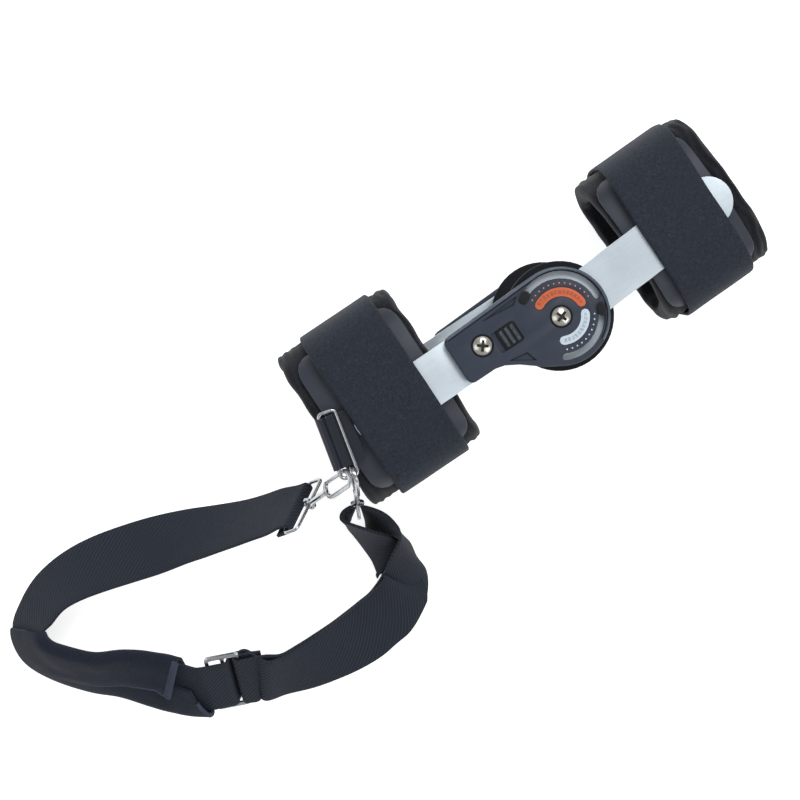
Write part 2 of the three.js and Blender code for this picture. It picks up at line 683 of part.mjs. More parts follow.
// Centre points with the direction of the strap's width at each.
function stationsOf(rows) {
  const centres = rows.map(([x, y, z]) => new THREE.Vector3(x, y, z));
  return rows.map((row, i) => {
    const before = centres[Math.max(0, i - 1)];
    const after = centres[Math.min(rows.length - 1, i + 1)];
    const along = after.clone().sub(before).normalize();
    const right = along.clone().cross(UP).normalize();
    const up = right.clone().cross(along);
    const turn = THREE.MathUtils.degToRad(row[3]);
    const width = right.clone().multiplyScalar(Math.cos(turn)).addScaledVector(up, Math.sin(turn));
    return { centre: centres[i], width };
  });
}

const outerStations = stationsOf(outerStrand);
const foldStations = fold.map(([x, y, z, u, v, w]) => {
  const upper = new THREE.Vector3(x, y, z);
  const lower = new THREE.Vector3(u, v, w);
  const centre = upper.clone().add(lower).multiplyScalar(0.5);
  return { centre, width: upper.sub(lower).normalize() };
});
const shoulderStations = stationsOf(shoulderRun);

// The strand beneath the outer one: the same rows run back the other way, edges swapped.
const overlaid = [...outerStations, foldStations[0], foldStations[1]];
const innerStations = overlaid.map(({ centre, width }, i) => {
  const before = overlaid[Math.max(0, i - 1)].centre;
  const after = overlaid[Math.min(overlaid.length - 1, i + 1)].centre;
  const top = width.clone().cross(after.clone().sub(before)).normalize();
  const drop = i === 0 ? 2 * WEB_STEP : WEB_STEP;
  return { centre: centre.clone().addScaledVector(top, -drop), width: width.clone().negate() };
}).reverse();
const tucked = {
  centre: new THREE.Vector3(TUCKED.x, TUCKED.y, TUCKED.z),
  width: new THREE.Vector3(0.88, -0.42, 0.24),
  halfWidth: TUCKED.halfWidth,
};

// The three-bar buckle. S runs along the strap from its middle bar towards the hooks, H up from it.
const buckleCentre = new THREE.Vector3(-314, -88, 18.4);
const buckleS = new THREE.Vector3(0.921, -0.389, 0);
const buckleLean = THREE.MathUtils.degToRad(35);
const buckleW = new THREE.Vector3(0.389, 0.921, 0).multiplyScalar(Math.cos(buckleLean))
  .addScaledVector(UP, Math.sin(buckleLean));
const buckleH = buckleS.clone().cross(buckleW);
const bucklePlace = placed(buckleCentre, buckleS, buckleW);
const barPitch = (BUCKLE.along - BUCKLE.bar) / 2;
const buckleSide = BUCKLE.across / 2;
const slotSide = BUCKLE.slot / 2;
const bucklePlate = roundedRectangle(
  -BUCKLE.along / 2, -buckleSide, BUCKLE.along / 2, buckleSide, BUCKLE.corner);
const buckleSlots = [-barPitch, 0].map((s) => roundedRectangle(
  s + BUCKLE.bar / 2, -slotSide, s + barPitch - BUCKLE.bar / 2, slotSide, 1, 2).reverse());
const buckleGeometry = bevelledPlate(
  bucklePlate, -BUCKLE.thick / 2, BUCKLE.thick / 2, 0.4, buckleSlots);
addMesh('sling_buckle', buckleGeometry.translate(0, BUCKLE.offset, 0), 'steel', bucklePlace);

function buckleStation([s, h]) {
  const centre = buckleCentre.clone().addScaledVector(buckleS, s).addScaledVector(buckleH, h);
  return { centre, width: buckleW.clone() };
}

const sewnRadius = BUCKLE.thick / 2 + 2 * GAP + WEB_THICK / 2;
const sewnEnd = [
  [26, -2.2], [20, -sewnRadius], [barPitch + 2, -sewnRadius],
  ...arc(barPitch, 0, sewnRadius, 270, 90, 6).map((p) => [p.x, p.y]),
  [barPitch + 2, sewnRadius], [17, sewnRadius],
].map(buckleStation);
const threaded = [
  [17, -5.6], [11, -5.6], [7, -5.2], [4.6, -3.2], [3.6, -0.4], [2.6, 1.9], [0.4, 2.6],
  [-5, 2.6], [-11, 2.6], [-15, 2.4],
].map(buckleStation);

// The end at the first hook is folded round its web loop and sewn on itself.
const foldAlong = loopAcross1.clone().negate();
const foldTop = foldAlong.clone().cross(loopLength1).negate();
const foldRadius = WIRE / 2 + 2 * GAP + WEB_THICK / 2;
const foldedEnd = [
  [-6, foldRadius], ...arc(0, 0, foldRadius, 90, -90, 6).map((p) => [p.x, p.y]), [-5, -foldRadius],
  [-10, -foldRadius],
].map(([s, h]) => ({
  centre: loopBar1.clone().addScaledVector(foldAlong, s).addScaledVector(foldTop, h),
  width: loopLength1.clone(),
}));

function swapped(list) {
  list.forEach((station) => station.width.negate());
  return list;
}

const stations = [
  ...sewnEnd, ...outerStations, ...foldStations, tucked, ...innerStations, ...swapped(threaded),
  ...swapped(shoulderStations), ...swapped(foldedEnd),
];
const padFirst = stations.length - foldedEnd.length - shoulderStations.length;
const route = new THREE.CatmullRomCurve3(stations.map((s) => s.centre), false, 'catmullrom', 0.5);

// The strap's own axes at a place counted in stations.
function strapAt(place) {
  const last = stations.length - 1;
  const i = Math.min(last - 1, Math.floor(place));
  const centre = route.getPoint(place / last);
  const before = route.getPoint(Math.max(0, place - 0.1) / last);
  const after = route.getPoint(Math.min(last, place + 0.1) / last);
  const along = after.sub(before).normalize();
  const width = stations[i].width.clone().lerp(stations[i + 1].width, place - i);
  width.normalize();
  const ends = [stations[i], stations[i + 1]].map((s) => s.halfWidth || WEB_WIDTH / 2);
  const half = THREE.MathUtils.lerp(ends[0], ends[1], place - i);
  return { centre, width, top: width.clone().cross(along).normalize(), share: (2 * half) / WEB_WIDTH };
}

function strapPoint(place, across, up) {
  const { centre, width, top, share } = strapAt(place);
  return centre.addScaledVector(width, across * share).addScaledVector(top, up);
}

function strapSection(place, outline) {
  return outline.map(([across, up]) => strapPoint(place, across, up));
}

const w = WEB_WIDTH / 2;
const t = WEB_THICK / 2;
const webOutline = [[-w, -t], [w, -t], [w, t], [-w, t]];
const webSections = [];
for (let i = 0; i < stations.length - 1; i += 0.5) {
  webSections.push(strapSection(i, webOutline));
}
webSections.push(strapSection(stations.length - 1, webOutline));
addMesh('sling_webbing', sweep(webSections), 'webbing');

// The shoulder pad: a folded foam sleeve round the webbing, open at both ends.
function padOutline(width, thick, corner) {
  const points = roundedRectangle(-width / 2, -thick / 2, width / 2, thick / 2, corner, 3);
  return points.map((p) => [p.x, p.y]);
}

// The end by the buckle is cut on a slant.
function padSection(row, outline) {
  const slant = PAD.slant * Math.max(0, 1 - row / PAD.slantRows);
  return outline.map(([across, up]) =>
    strapPoint(padFirst + row - (2 * slant * across) / PAD.width, across, up));
}

const padOuter = padOutline(PAD.width, PAD.thick, PAD.thick / 2 - 0.3);
const padInner = padOutline(PAD.slotWidth, PAD.slotThick, 0.5);
const padSections = [];
for (let i = 0; i <= PAD_ROWS; i += 0.5) {
  padSections.push(padSection(i, padOuter));
}
for (let i = PAD_ROWS; i >= 0; i -= 0.5) {
  padSections.push(padSection(i, padInner));
}
addMesh('shoulder_pad', sweep(padSections, true), 'foam');

export default brace;
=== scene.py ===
import math
import bpy
from mathutils import Matrix, Vector, noise


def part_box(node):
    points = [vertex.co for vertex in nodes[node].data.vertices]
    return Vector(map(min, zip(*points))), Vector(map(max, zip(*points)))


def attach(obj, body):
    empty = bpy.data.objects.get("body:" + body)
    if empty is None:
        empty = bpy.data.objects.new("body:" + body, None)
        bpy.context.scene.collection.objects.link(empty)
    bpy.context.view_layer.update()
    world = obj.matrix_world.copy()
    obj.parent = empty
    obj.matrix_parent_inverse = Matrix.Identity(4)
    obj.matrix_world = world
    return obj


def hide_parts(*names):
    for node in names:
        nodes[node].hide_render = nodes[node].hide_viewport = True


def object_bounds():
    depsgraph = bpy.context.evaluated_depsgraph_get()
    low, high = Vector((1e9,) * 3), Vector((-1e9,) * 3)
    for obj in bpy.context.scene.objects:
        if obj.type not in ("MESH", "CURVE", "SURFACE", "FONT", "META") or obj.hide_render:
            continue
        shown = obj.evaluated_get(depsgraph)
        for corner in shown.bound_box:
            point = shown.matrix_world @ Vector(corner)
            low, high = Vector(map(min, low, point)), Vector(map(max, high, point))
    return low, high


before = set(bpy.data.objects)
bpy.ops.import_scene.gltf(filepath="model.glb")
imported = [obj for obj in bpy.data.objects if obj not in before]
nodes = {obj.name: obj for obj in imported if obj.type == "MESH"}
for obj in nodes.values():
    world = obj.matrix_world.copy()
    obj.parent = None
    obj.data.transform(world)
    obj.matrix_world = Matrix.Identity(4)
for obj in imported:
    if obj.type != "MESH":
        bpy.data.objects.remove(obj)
cad_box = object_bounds()

# Studio: the brace lies on white paper under large soft boxes, as for a catalogue picture.
# A long lens looks down on the dial, leaning a little towards the elbow.
MM = 0.001
PAPER_SIDE = 6
PAPER_DROP = 0.3 * MM
BRACE_MIDDLE = Vector((-0.1, 0, 0.05))
CAMERA_PLACE = (-0.1122, 0.1039, 1.2966)
CAMERA_RIGHT = (0.8311, -0.5544, 0.0427)
CAMERA_UP = (0.5561, 0.8287, -0.0638)
CAMERA_BACK = (0, 0.0767, 0.997)
LENS = 86.22
SENSOR = 36

scene = bpy.context.scene
scene.view_settings.view_transform = "Standard"


def linear(hex_colour):
    channels = [int(hex_colour[i:i + 2], 16) / 255 for i in (1, 3, 5)]
    return tuple(c / 12.92 if c <= 0.04045 else ((c + 0.055) / 1.055) ** 2.4 for c in channels) + (1,)


def add_node(material, kind, sockets, **settings):
    """A node of that kind, or the node of that name, with its settings, socket values and links."""
    tree = material.node_tree
    node = tree.nodes.get(kind) or tree.nodes.new(kind)
    for name, value in settings.items():
        setattr(node, name, value)
    for name, value in sockets.items():
        if isinstance(value, bpy.types.NodeSocket):
            tree.links.new(value, node.inputs[name])
        else:
            node.inputs[name].default_value = value
    return node


def new_material(name):
    material = bpy.data.materials.new(name)
    material.use_nodes = True
    return material


bpy.ops.object.select_all(action="DESELECT")
bpy.ops.mesh.primitive_plane_add(size=PAPER_SIDE, location=(0, 0, cad_box[0][2] - PAPER_DROP))
paper = bpy.context.object
paper.name = "paper_floor"
# Matt white paper: almost no gloss, and it glows a little from the light table below it.
white_paper = new_material("white_paper")
add_node(white_paper, "Principled BSDF", {
    "Base Color": linear("#f4f4f4"), "Roughness": 0.9, "Specular IOR Level": 0.1,
    "Emission Color": (1, 1, 1, 1), "Emission Strength": 0.72,
})
paper.data.materials.append(white_paper)

studio = bpy.data.worlds.new("studio")
scene.world = studio
studio.use_nodes = True
add_node(studio, "Background", {"Color": (1, 1, 1, 1), "Strength": 0.5})

# Each soft box: place, watts, side, all aimed at the middle of the brace.
for place, watts, side in [
    ((0.7, 0.8, 1.5), 16, 0.9),
    ((-1.1, 0.3, 1.2), 2.5, 0.8),
    ((0.4, -1.0, 1.1), 5, 0.8),
]:
    bpy.ops.object.light_add(type="AREA", location=place)
    soft_box = bpy.context.object
    soft_box.data.energy = watts
    soft_box.data.size = side
    aim = BRACE_MIDDLE - Vector(place)
    soft_box.rotation_euler = aim.to_track_quat("-Z", "Y").to_euler()

bpy.ops.object.camera_add(location=CAMERA_PLACE)
camera = bpy.context.object
camera.data.lens = LENS
camera.data.sensor_width = SENSOR
camera.rotation_euler = Matrix((CAMERA_RIGHT, CAMERA_UP, CAMERA_BACK)).transposed().to_euler()
scene.camera = camera

# Liners: two open sleeves of soft foam covered in brushed black cloth, one inside each cuff.
# The foam is soft, so its ends roll over and crease where the straps press it.
BRACE_HEIGHT = 111 * MM
MIDDLE = BRACE_HEIGHT / 2
LINER_THICK = 8 * MM
LINER_HALF_HEIGHT = 46 * MM
LINER_POWER = 2.6
PLEAT_PITCH = 5.5 * MM
PLEAT_DEPTH = 0.7 * MM
PLEAT_REACH = 10 * MM
ROLLED_END = 5 * MM
END_WANDER = 1.6 * MM
LINER_SWELL = 0.6 * MM
LINER_MESH = (120, 128)
# Noise steps round the cuff, and along the arm for each metre.
WANDER_STEPS = (3, 8)
SWELL_STEPS = (4, 60)
CUFF_GAP = 2.8 * MM
FOREARM = {
    "centre": 18 * MM, "half_width": 60 * MM, "place": Matrix.Identity(4), "body": "forearm",
    "liner": (-164.5 * MM, -80 * MM), "strap": (-144.3 * MM, -92.5 * MM),
}
UPPER_ARM_TURN = math.radians(4)
UPPER_CUFF_TURN = math.radians(-2.6)
UPPER_CUFF_SHIFT = Vector((0, 4.3 * MM, 0))
UPPER_ARM = {
    "centre": 1.2 * MM, "half_width": 56.1 * MM, "body": "upper_arm",
    "place": Matrix.Rotation(UPPER_ARM_TURN, 4, "Z") @ Matrix.Translation(UPPER_CUFF_SHIFT)
    @ Matrix.Rotation(UPPER_CUFF_TURN, 4, "Z"),
    "liner": (59.5 * MM, 138.5 * MM), "strap": (70.5 * MM, 120.5 * MM),
}


def oval_point(cuff, half_width, half_height, power, angle, depth):
    """A point of a cuff's oval at an angle from +Y, pushed out along the oval's own normal."""
    c, s = math.cos(angle), math.sin(angle)
    radius = (abs(c / half_width) ** power + abs(s / half_height) ** power) ** (-1 / power)
    y, z = radius * c, radius * s
    normal = Vector((
        math.copysign(abs(y / half_width) ** (power - 1), y) / half_width,
        math.copysign(abs(z / half_height) ** (power - 1), z) / half_height,
    )).normalized()
    return cuff["centre"] + y + depth * normal[0], MIDDLE + z + depth * normal[1]


def wall_point(share, length, thick):
    """A point of a wall's rounded section, from the middle of its outer face round to itself again."""
    flat, turn = (length - thick) / 2, math.pi * thick / 2
    walked = abs(share) * (4 * flat + 2 * turn)
    if walked <= flat:
        along, depth = walked, 0
    elif walked <= flat + turn:
        angle = (walked - flat) / (thick / 2)
        along, depth = flat + thick / 2 * math.sin(angle), thick / 2 * (math.cos(angle) - 1)
    else:
        along, depth = 2 * flat + turn - walked, -thick
    return math.copysign(along, share), depth


def sleeve(name, cuff, span, oval, thick, segments, shape):
    """A sleeve round a cuff. shape moves a point of it: (along the arm, angle, depth) in and out."""
    bpy.ops.object.select_all(action="DESELECT")
    bpy.ops.mesh.primitive_torus_add(major_segments=segments[0], minor_segments=segments[1])
    piece = bpy.context.object
    piece.name = piece.data.name = name
    middle, length = (span[0] + span[1]) / 2, span[1] - span[0]
    for vertex in piece.data.vertices:
        x, y, z = vertex.co
        angle = math.atan2(y, x)
        share = math.atan2(z, math.hypot(x, y) - 1) / (2 * math.pi)
        along, depth = wall_point(share, length, thick)
        along, angle, depth = shape(middle + along, angle, depth)
        vertex.co = cuff["place"] @ Vector((along, *oval_point(cuff, *oval, angle, depth)))
    return piece


def apply_modifier(piece, kind, **settings):
    bpy.context.view_layer.objects.active = piece
    modifier = piece.modifiers.new(kind.lower(), kind)
    for name, value in settings.items():
        setattr(modifier, name, value)
    bpy.ops.object.modifier_apply(modifier=modifier.name)


def hand_over(piece, body, material, slot, *replaced):
    """The finished piece: shaded smooth, in its material, on its body and in place of its solids."""
    piece.data.materials.clear()
    piece.data.materials.append(material)
    piece.data.polygons.foreach_set("use_smooth", [True] * len(piece.data.polygons))
    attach(piece, body)
    if replaced:
        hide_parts(*replaced)


# Brushed nylon loop cloth on foam: near black, no gloss, a short nap that catches light at its edges.
# The nap is really under 0.3 mm and is drawn at 0.9 mm to show.
brushed_cloth = new_material("brushed_cloth")
here = add_node(brushed_cloth, "ShaderNodeTexCoord", {})
nap = add_node(brushed_cloth, "ShaderNodeTexNoise", {
    "Vector": here.outputs["Object"], "Scale": 1 / (0.9 * MM), "Detail": 5, "Roughness": 0.7})
patches = add_node(brushed_cloth, "ShaderNodeTexNoise", {
    "Vector": here.outputs["Object"], "Scale": 1 / (14 * MM), "Detail": 3})
tufts = add_node(brushed_cloth, "ShaderNodeMapRange", {
    "Value": nap.outputs["Fac"], "From Min": 0.3, "From Max": 0.7})
worn = add_node(brushed_cloth, "ShaderNodeMath", {
    0: tufts.outputs["Result"], 1: patches.outputs["Fac"]}, operation="MULTIPLY")
tone = add_node(brushed_cloth, "ShaderNodeMixRGB", {
    "Fac": worn.outputs["Value"], "Color1": linear("#101216"), "Color2": linear("#33363d")})
height = add_node(brushed_cloth, "ShaderNodeBump", {
    "Height": nap.outputs["Fac"], "Strength": 0.5, "Distance": 0.4 * MM})
add_node(brushed_cloth, "Principled BSDF", {
    "Base Color": tone.outputs["Color"], "Roughness": 0.95, "Specular IOR Level": 0.12,
    "Sheen Weight": 0.12, "Sheen Roughness": 0.5, "Normal": height.outputs["Normal"]})


def liner_folds(cuff):
    """The soft liner: it swells a little, creases beside its ends, and its ends wander."""
    first, last = cuff["liner"]

    def shape(x, angle, depth):
        from_end = min(x - first, last - x)
        near = math.exp(-((from_end - PLEAT_REACH / 2) / PLEAT_REACH) ** 2)
        wander = noise.noise((
            WANDER_STEPS[0] * math.cos(angle), WANDER_STEPS[0] * math.sin(angle), x * WANDER_STEPS[1]))
        pleat = math.sin(2 * math.pi * from_end / PLEAT_PITCH + 4 * wander)
        inside = min(1, max(0, -depth / LINER_THICK))
        swell = noise.noise((
            x * SWELL_STEPS[1], SWELL_STEPS[0] * math.cos(angle), SWELL_STEPS[0] * math.sin(angle)))
        depth += near * PLEAT_DEPTH * pleat + LINER_SWELL * swell
        depth -= inside * ROLLED_END * math.exp(-(from_end / PLEAT_REACH) ** 2) * (1 + wander)
        x += END_WANDER * wander * near
        return x, angle, depth
    return shape


for name, cuff in [("forearm", FOREARM), ("upper", UPPER_ARM)]:
    oval = (cuff["half_width"] - CUFF_GAP, LINER_HALF_HEIGHT, LINER_POWER)
    liner = sleeve(
        name + "_liner_sleeve", cuff, cuff["liner"], oval, LINER_THICK, LINER_MESH, liner_folds(cuff))
    apply_modifier(liner, "SUBSURF", levels=1, render_levels=1)
    hand_over(liner, cuff["body"], brushed_cloth, "liner_foam", name + "_liner")

# Shells: curved panels of thin black plastic on the front and the back of each liner, moulded with
# round corners. The straps go over them and they spread the bars' load.


def dress(node, material, rounding, facet=20):
    """A solid of the frame that keeps its shape: its edges are broken and it gets its material."""
    piece = nodes[node]
    piece.data.materials.clear()
    piece.data.materials.append(material)
    piece.data.polygons.foreach_set("use_smooth", [True] * len(piece.data.polygons))
    piece.modifiers.new("joined", "WELD").merge_threshold = 0.01 * MM
    flat = piece.modifiers.new("flat_faces", "DECIMATE")
    flat.decimate_type = "DISSOLVE"
    flat.angle_limit = math.radians(0.5)
    edge = piece.modifiers.new("broken_edges", "BEVEL")
    edge.width = rounding
    edge.segments = 3
    edge.limit_method = "ANGLE"
    edge.angle_limit = math.radians(facet)
    edge.harden_normals = True
    return piece


# Moulded polyethylene: dark grey, a soft satin gloss over an orange-peel skin, in broad cloudy patches of
# paler grey.
moulded_shell = new_material("moulded_polyethylene")
here = add_node(moulded_shell, "ShaderNodeTexCoord", {})
peel = add_node(moulded_shell, "ShaderNodeTexNoise", {
    "Vector": here.outputs["Object"], "Scale": 1 / (1.5 * MM), "Detail": 3})
cloudy = add_node(moulded_shell, "ShaderNodeTexNoise", {
    "Vector": here.outputs["Object"], "Scale": 1 / (20 * MM), "Detail": 2})
tone = add_node(moulded_shell, "ShaderNodeMixRGB", {
    "Fac": cloudy.outputs["Fac"], "Color1": linear("#1f242e"), "Color2": linear("#373d49")})
height = add_node(moulded_shell, "ShaderNodeBump", {
    "Height": peel.outputs["Fac"], "Strength": 0.25, "Distance": 0.2 * MM})
add_node(moulded_shell, "Principled BSDF", {
    "Base Color": tone.outputs["Color"], "Roughness": 0.5, "Specular IOR Level": 0.4,
    "Normal": height.outputs["Normal"]})

for node in ["forearm_shell_front", "forearm_shell_back", "upper_shell_front", "upper_shell_back"]:
    dress(node, moulded_shell, 0.7 * MM, facet=40)

# Bars: flat aluminium strips, cut and set by hand to the arm. Each runs under its cuff's strap, steps
# down to the hinge and is riveted there.
# Satin anodised aluminium: pale, cool, a soft blurred shine with fine brushing along the bar.
anodised = new_material("satin_anodised_aluminium")
here = add_node(anodised, "ShaderNodeTexCoord", {})
lengthwise = add_node(anodised, "ShaderNodeMapping", {
    "Vector": here.outputs["Object"], "Scale": (1 / (30 * MM), 1 / (0.6 * MM), 1 / (0.6 * MM))})
brushing = add_node(anodised, "ShaderNodeTexNoise", {
    "Vector": lengthwise.outputs["Vector"], "Scale": 1, "Detail": 4})
tone = add_node(anodised, "ShaderNodeMixRGB", {
    "Fac": brushing.outputs["Fac"], "Color1": linear("#bcc7d0"), "Color2": linear("#d2dbe2")})
sheen = add_node(anodised, "ShaderNodeMapRange", {
    "Value": brushing.outputs["Fac"], "To Min": 0.42, "To Max": 0.58})
height = add_node(anodised, "ShaderNodeBump", {
    "Height": brushing.outputs["Fac"], "Strength": 0.08, "Distance": 0.05 * MM})
add_node(anodised, "Principled BSDF", {
    "Base Color": tone.outputs["Color"], "Metallic": 0.75, "Roughness": sheen.outputs["Result"],
    "Normal": height.outputs["Normal"]})

for node in ["forearm_bar_front", "forearm_bar_back", "upper_bar_front", "upper_bar_back"]:
    dress(node, anodised, 0.5 * MM)

# Cuff straps: wide elastic straps faced with a grained coating, closed in a ring round each cuff over
# the shells and the bars. Their hook-and-loop ends meet out of sight.
STRAP_THICK = 2.5 * MM
STRAP_POWER = 3.4
STRAP_SKEW = 5.8 * MM
STRAP_MESH = (160, 72)
EDGE_WANDER = 0.5 * MM
FACE_WAVE = 0.15 * MM
# Noise steps round the cuff, and along the arm for each metre.
DRIFT_STEPS = 2.5
DRIFT_SLICE = 4
FACE_STEPS = (3, 40)
# Coated strap: dark slate, matt, with a wandering leather-like grain drawn at 1.6 mm.
grained_strap = new_material("grained_coated_strap")
here = add_node(grained_strap, "ShaderNodeTexCoord", {})
grain = add_node(grained_strap, "ShaderNodeTexNoise", {
    "Vector": here.outputs["Object"], "Scale": 1 / (1.6 * MM), "Detail": 3, "Distortion": 1.4})
broad = add_node(grained_strap, "ShaderNodeTexNoise", {
    "Vector": here.outputs["Object"], "Scale": 1 / (18 * MM), "Detail": 3})
crests = add_node(grained_strap, "ShaderNodeMapRange", {
    "Value": grain.outputs["Fac"], "From Min": 0.36, "From Max": 0.66})
tone = add_node(grained_strap, "ShaderNodeMixRGB", {
    "Fac": crests.outputs["Result"], "Color1": linear("#171b22"), "Color2": linear("#313844")})
worn = add_node(grained_strap, "ShaderNodeMixRGB", {
    "Fac": broad.outputs["Fac"], "Color1": tone.outputs["Color"], "Color2": linear("#262c35")})
height = add_node(grained_strap, "ShaderNodeBump", {
    "Height": crests.outputs["Result"], "Strength": 0.5, "Distance": 0.3 * MM})
add_node(grained_strap, "Principled BSDF", {
    "Base Color": worn.outputs["Color"], "Roughness": 0.75, "Specular IOR Level": 0.2,
    "Normal": height.outputs["Normal"]})


def strap_ease(skew):
    """The pulled strap: its edges wander, and it is drawn askew along the arm on its far side."""
    def shape(x, angle, depth):
        drift = noise.noise((DRIFT_STEPS * math.cos(angle), DRIFT_STEPS * math.sin(angle), DRIFT_SLICE))
        face = noise.noise((
            x * FACE_STEPS[1], FACE_STEPS[0] * math.cos(angle), FACE_STEPS[0] * math.sin(angle)))
        x += EDGE_WANDER * drift + skew * max(0, math.cos(angle)) ** 2
        return x, angle, depth + FACE_WAVE * face
    return shape


for name, cuff, skew in [("forearm", FOREARM, 0), ("upper", UPPER_ARM, STRAP_SKEW)]:
    oval = (cuff["half_width"], MIDDLE, STRAP_POWER)
    strap = sleeve(
        name + "_cuff_strap", cuff, cuff["strap"], oval, STRAP_THICK, STRAP_MESH, strap_ease(skew))
    hand_over(strap, cuff["body"], grained_strap, "cuff_strap", name + "_strap")

# Hinge: on each side a black base disc, the bars' round ends, and a slate plastic cover with a lever
# arm over the forearm bar. The front cover carries the dial, moulded with slots and hollows.
# Glass-filled nylon: slate blue, satin, a fine spark-eroded mould texture drawn at 0.8 mm.
slate_nylon = new_material("textured_slate_nylon")
here = add_node(slate_nylon, "ShaderNodeTexCoord", {})
erosion = add_node(slate_nylon, "ShaderNodeTexNoise", {
    "Vector": here.outputs["Object"], "Scale": 1 / (0.8 * MM), "Detail": 4})
cloudy = add_node(slate_nylon, "ShaderNodeTexNoise", {
    "Vector": here.outputs["Object"], "Scale": 1 / (16 * MM), "Detail": 2})
tone = add_node(slate_nylon, "ShaderNodeMixRGB", {
    "Fac": cloudy.outputs["Fac"], "Color1": linear("#242c3c"), "Color2": linear("#303846")})
gloss = add_node(slate_nylon, "ShaderNodeMapRange", {
    "Value": erosion.outputs["Fac"], "To Min": 0.4, "To Max": 0.55})
height = add_node(slate_nylon, "ShaderNodeBump", {
    "Height": erosion.outputs["Fac"], "Strength": 0.15, "Distance": 0.15 * MM})
add_node(slate_nylon, "Principled BSDF", {
    "Base Color": tone.outputs["Color"], "Roughness": gloss.outputs["Result"],
    "Specular IOR Level": 0.4, "Normal": height.outputs["Normal"]})

for node in ["hinge_cover_front", "hinge_cover_back"]:
    dress(node, slate_nylon, 0.35 * MM)

# Black acetal: near black, satin, a faint mould grain.
black_acetal = new_material("black_acetal")
here = add_node(black_acetal, "ShaderNodeTexCoord", {})
erosion = add_node(black_acetal, "ShaderNodeTexNoise", {
    "Vector": here.outputs["Object"], "Scale": 1 / (1 * MM), "Detail": 3})
tone = add_node(black_acetal, "ShaderNodeMixRGB", {
    "Fac": erosion.outputs["Fac"], "Color1": linear("#0c0e11"), "Color2": linear("#1d2126")})
height = add_node(black_acetal, "ShaderNodeBump", {
    "Height": erosion.outputs["Fac"], "Strength": 0.12, "Distance": 0.1 * MM})
add_node(black_acetal, "Principled BSDF", {
    "Base Color": tone.outputs["Color"], "Roughness": 0.6, "Specular IOR Level": 0.15,
    "Normal": height.outputs["Normal"]})

for node in ["hinge_base_front", "hinge_base_back"]:
    dress(node, black_acetal, 0.8 * MM)

# Cover rim: a bead moulded along the lever's upper edge and round the dial, half sunk into each cover's
# face and painted paler as highlight. A thin black line inside the front bead is painted shade for a
# groove, and black lines round two sunk triangles in the front cover are painted shade at their edges.
RIM_RADIUS = 0.8 * MM
SHADE_LINE_RADIUS = 0.3 * MM
SHADE_LINE_INSET = 1.1 * MM
HOLLOWS = [
    [(-42.7, 24.7), (-20.9, 22.6), (-16.4, 26)],
    [(-41.9, -5), (-27.8, -14), (-30, -7)],
]
DIAL_RIM = 29.8 * MM
RIM_TURNS = range(-62, 94, 3)
LEVER_RIM = (-67.2 * MM, 27.4 * MM)


def tube(name, points, radius, cyclic=False):
    """A round rod or wire along a line of points."""
    bpy.ops.object.select_all(action="DESELECT")
    curve = bpy.data.curves.new(name, "CURVE")
    curve.dimensions = "3D"
    curve.bevel_depth = radius
    curve.bevel_resolution = 3
    curve.use_fill_caps = True
    spline = curve.splines.new("POLY")
    spline.points.add(len(points) - 1)
    for knot, point in zip(spline.points, points):
        knot.co = (*point, 1)
    spline.use_cyclic_u = cyclic
    piece = bpy.data.objects.new(name, curve)
    scene.collection.objects.link(piece)
    piece.select_set(True)
    bpy.context.view_layer.objects.active = piece
    bpy.ops.object.convert(target="MESH")
    return bpy.context.object


def on_circle(radius, degrees, height):
    """A point round the hinge's axis."""
    turn = math.radians(degrees)
    return Vector((radius * math.cos(turn), radius * math.sin(turn), height))


def rim_line(inset, height):
    """The line round the dial and on along the lever's upper edge, set in from the rim."""
    line = [on_circle(DIAL_RIM - inset, turn, height) for turn in RIM_TURNS]
    return line + [Vector((LEVER_RIM[0], LEVER_RIM[1] - inset, height))]


# Slate nylon with painted highlight: the same slate, painted paler on the raised bead as its highlight, and
# glossier.
highlight_slate_nylon = new_material("slate_nylon_painted_highlight")
here = add_node(highlight_slate_nylon, "ShaderNodeTexCoord", {})
highlight_mottle = add_node(highlight_slate_nylon, "ShaderNodeTexNoise", {
    "Vector": here.outputs["Object"], "Scale": 1 / (3 * MM), "Detail": 3})
tone = add_node(highlight_slate_nylon, "ShaderNodeMixRGB", {
    "Fac": highlight_mottle.outputs["Fac"], "Color1": linear("#3a4454"), "Color2": linear("#525c6c")})
add_node(highlight_slate_nylon, "Principled BSDF", {
    "Base Color": tone.outputs["Color"], "Roughness": 0.3, "Specular IOR Level": 0.5})

# The beads take the slate nylon painted paler: painted highlight along the rim.
for side, height in [("front", BRACE_HEIGHT), ("back", 0)]:
    rim = tube("cover_rim_" + side, rim_line(0, height), RIM_RADIUS)
    hand_over(rim, "forearm", highlight_slate_nylon, "cover_plastic")
# A black line set in from the front rim: painted shade where a groove would lie in shade.
groove_shade_line = tube("cover_groove_painted_shade", rim_line(SHADE_LINE_INSET, BRACE_HEIGHT), SHADE_LINE_RADIUS)
hand_over(groove_shade_line, "forearm", black_acetal, "dark_plastic")
# Black lines round the two sunk triangles: painted shade at their edges.
for number, corners in enumerate(HOLLOWS, 1):
    triangle_shade_line = [Vector((x * MM, y * MM, BRACE_HEIGHT)) for x, y in corners]
    triangle_shade_line = tube(f"hollow_shade_outline_{number}", triangle_shade_line, SHADE_LINE_RADIUS, cyclic=True)
    hand_over(triangle_shade_line, "forearm", black_acetal, "dark_plastic")

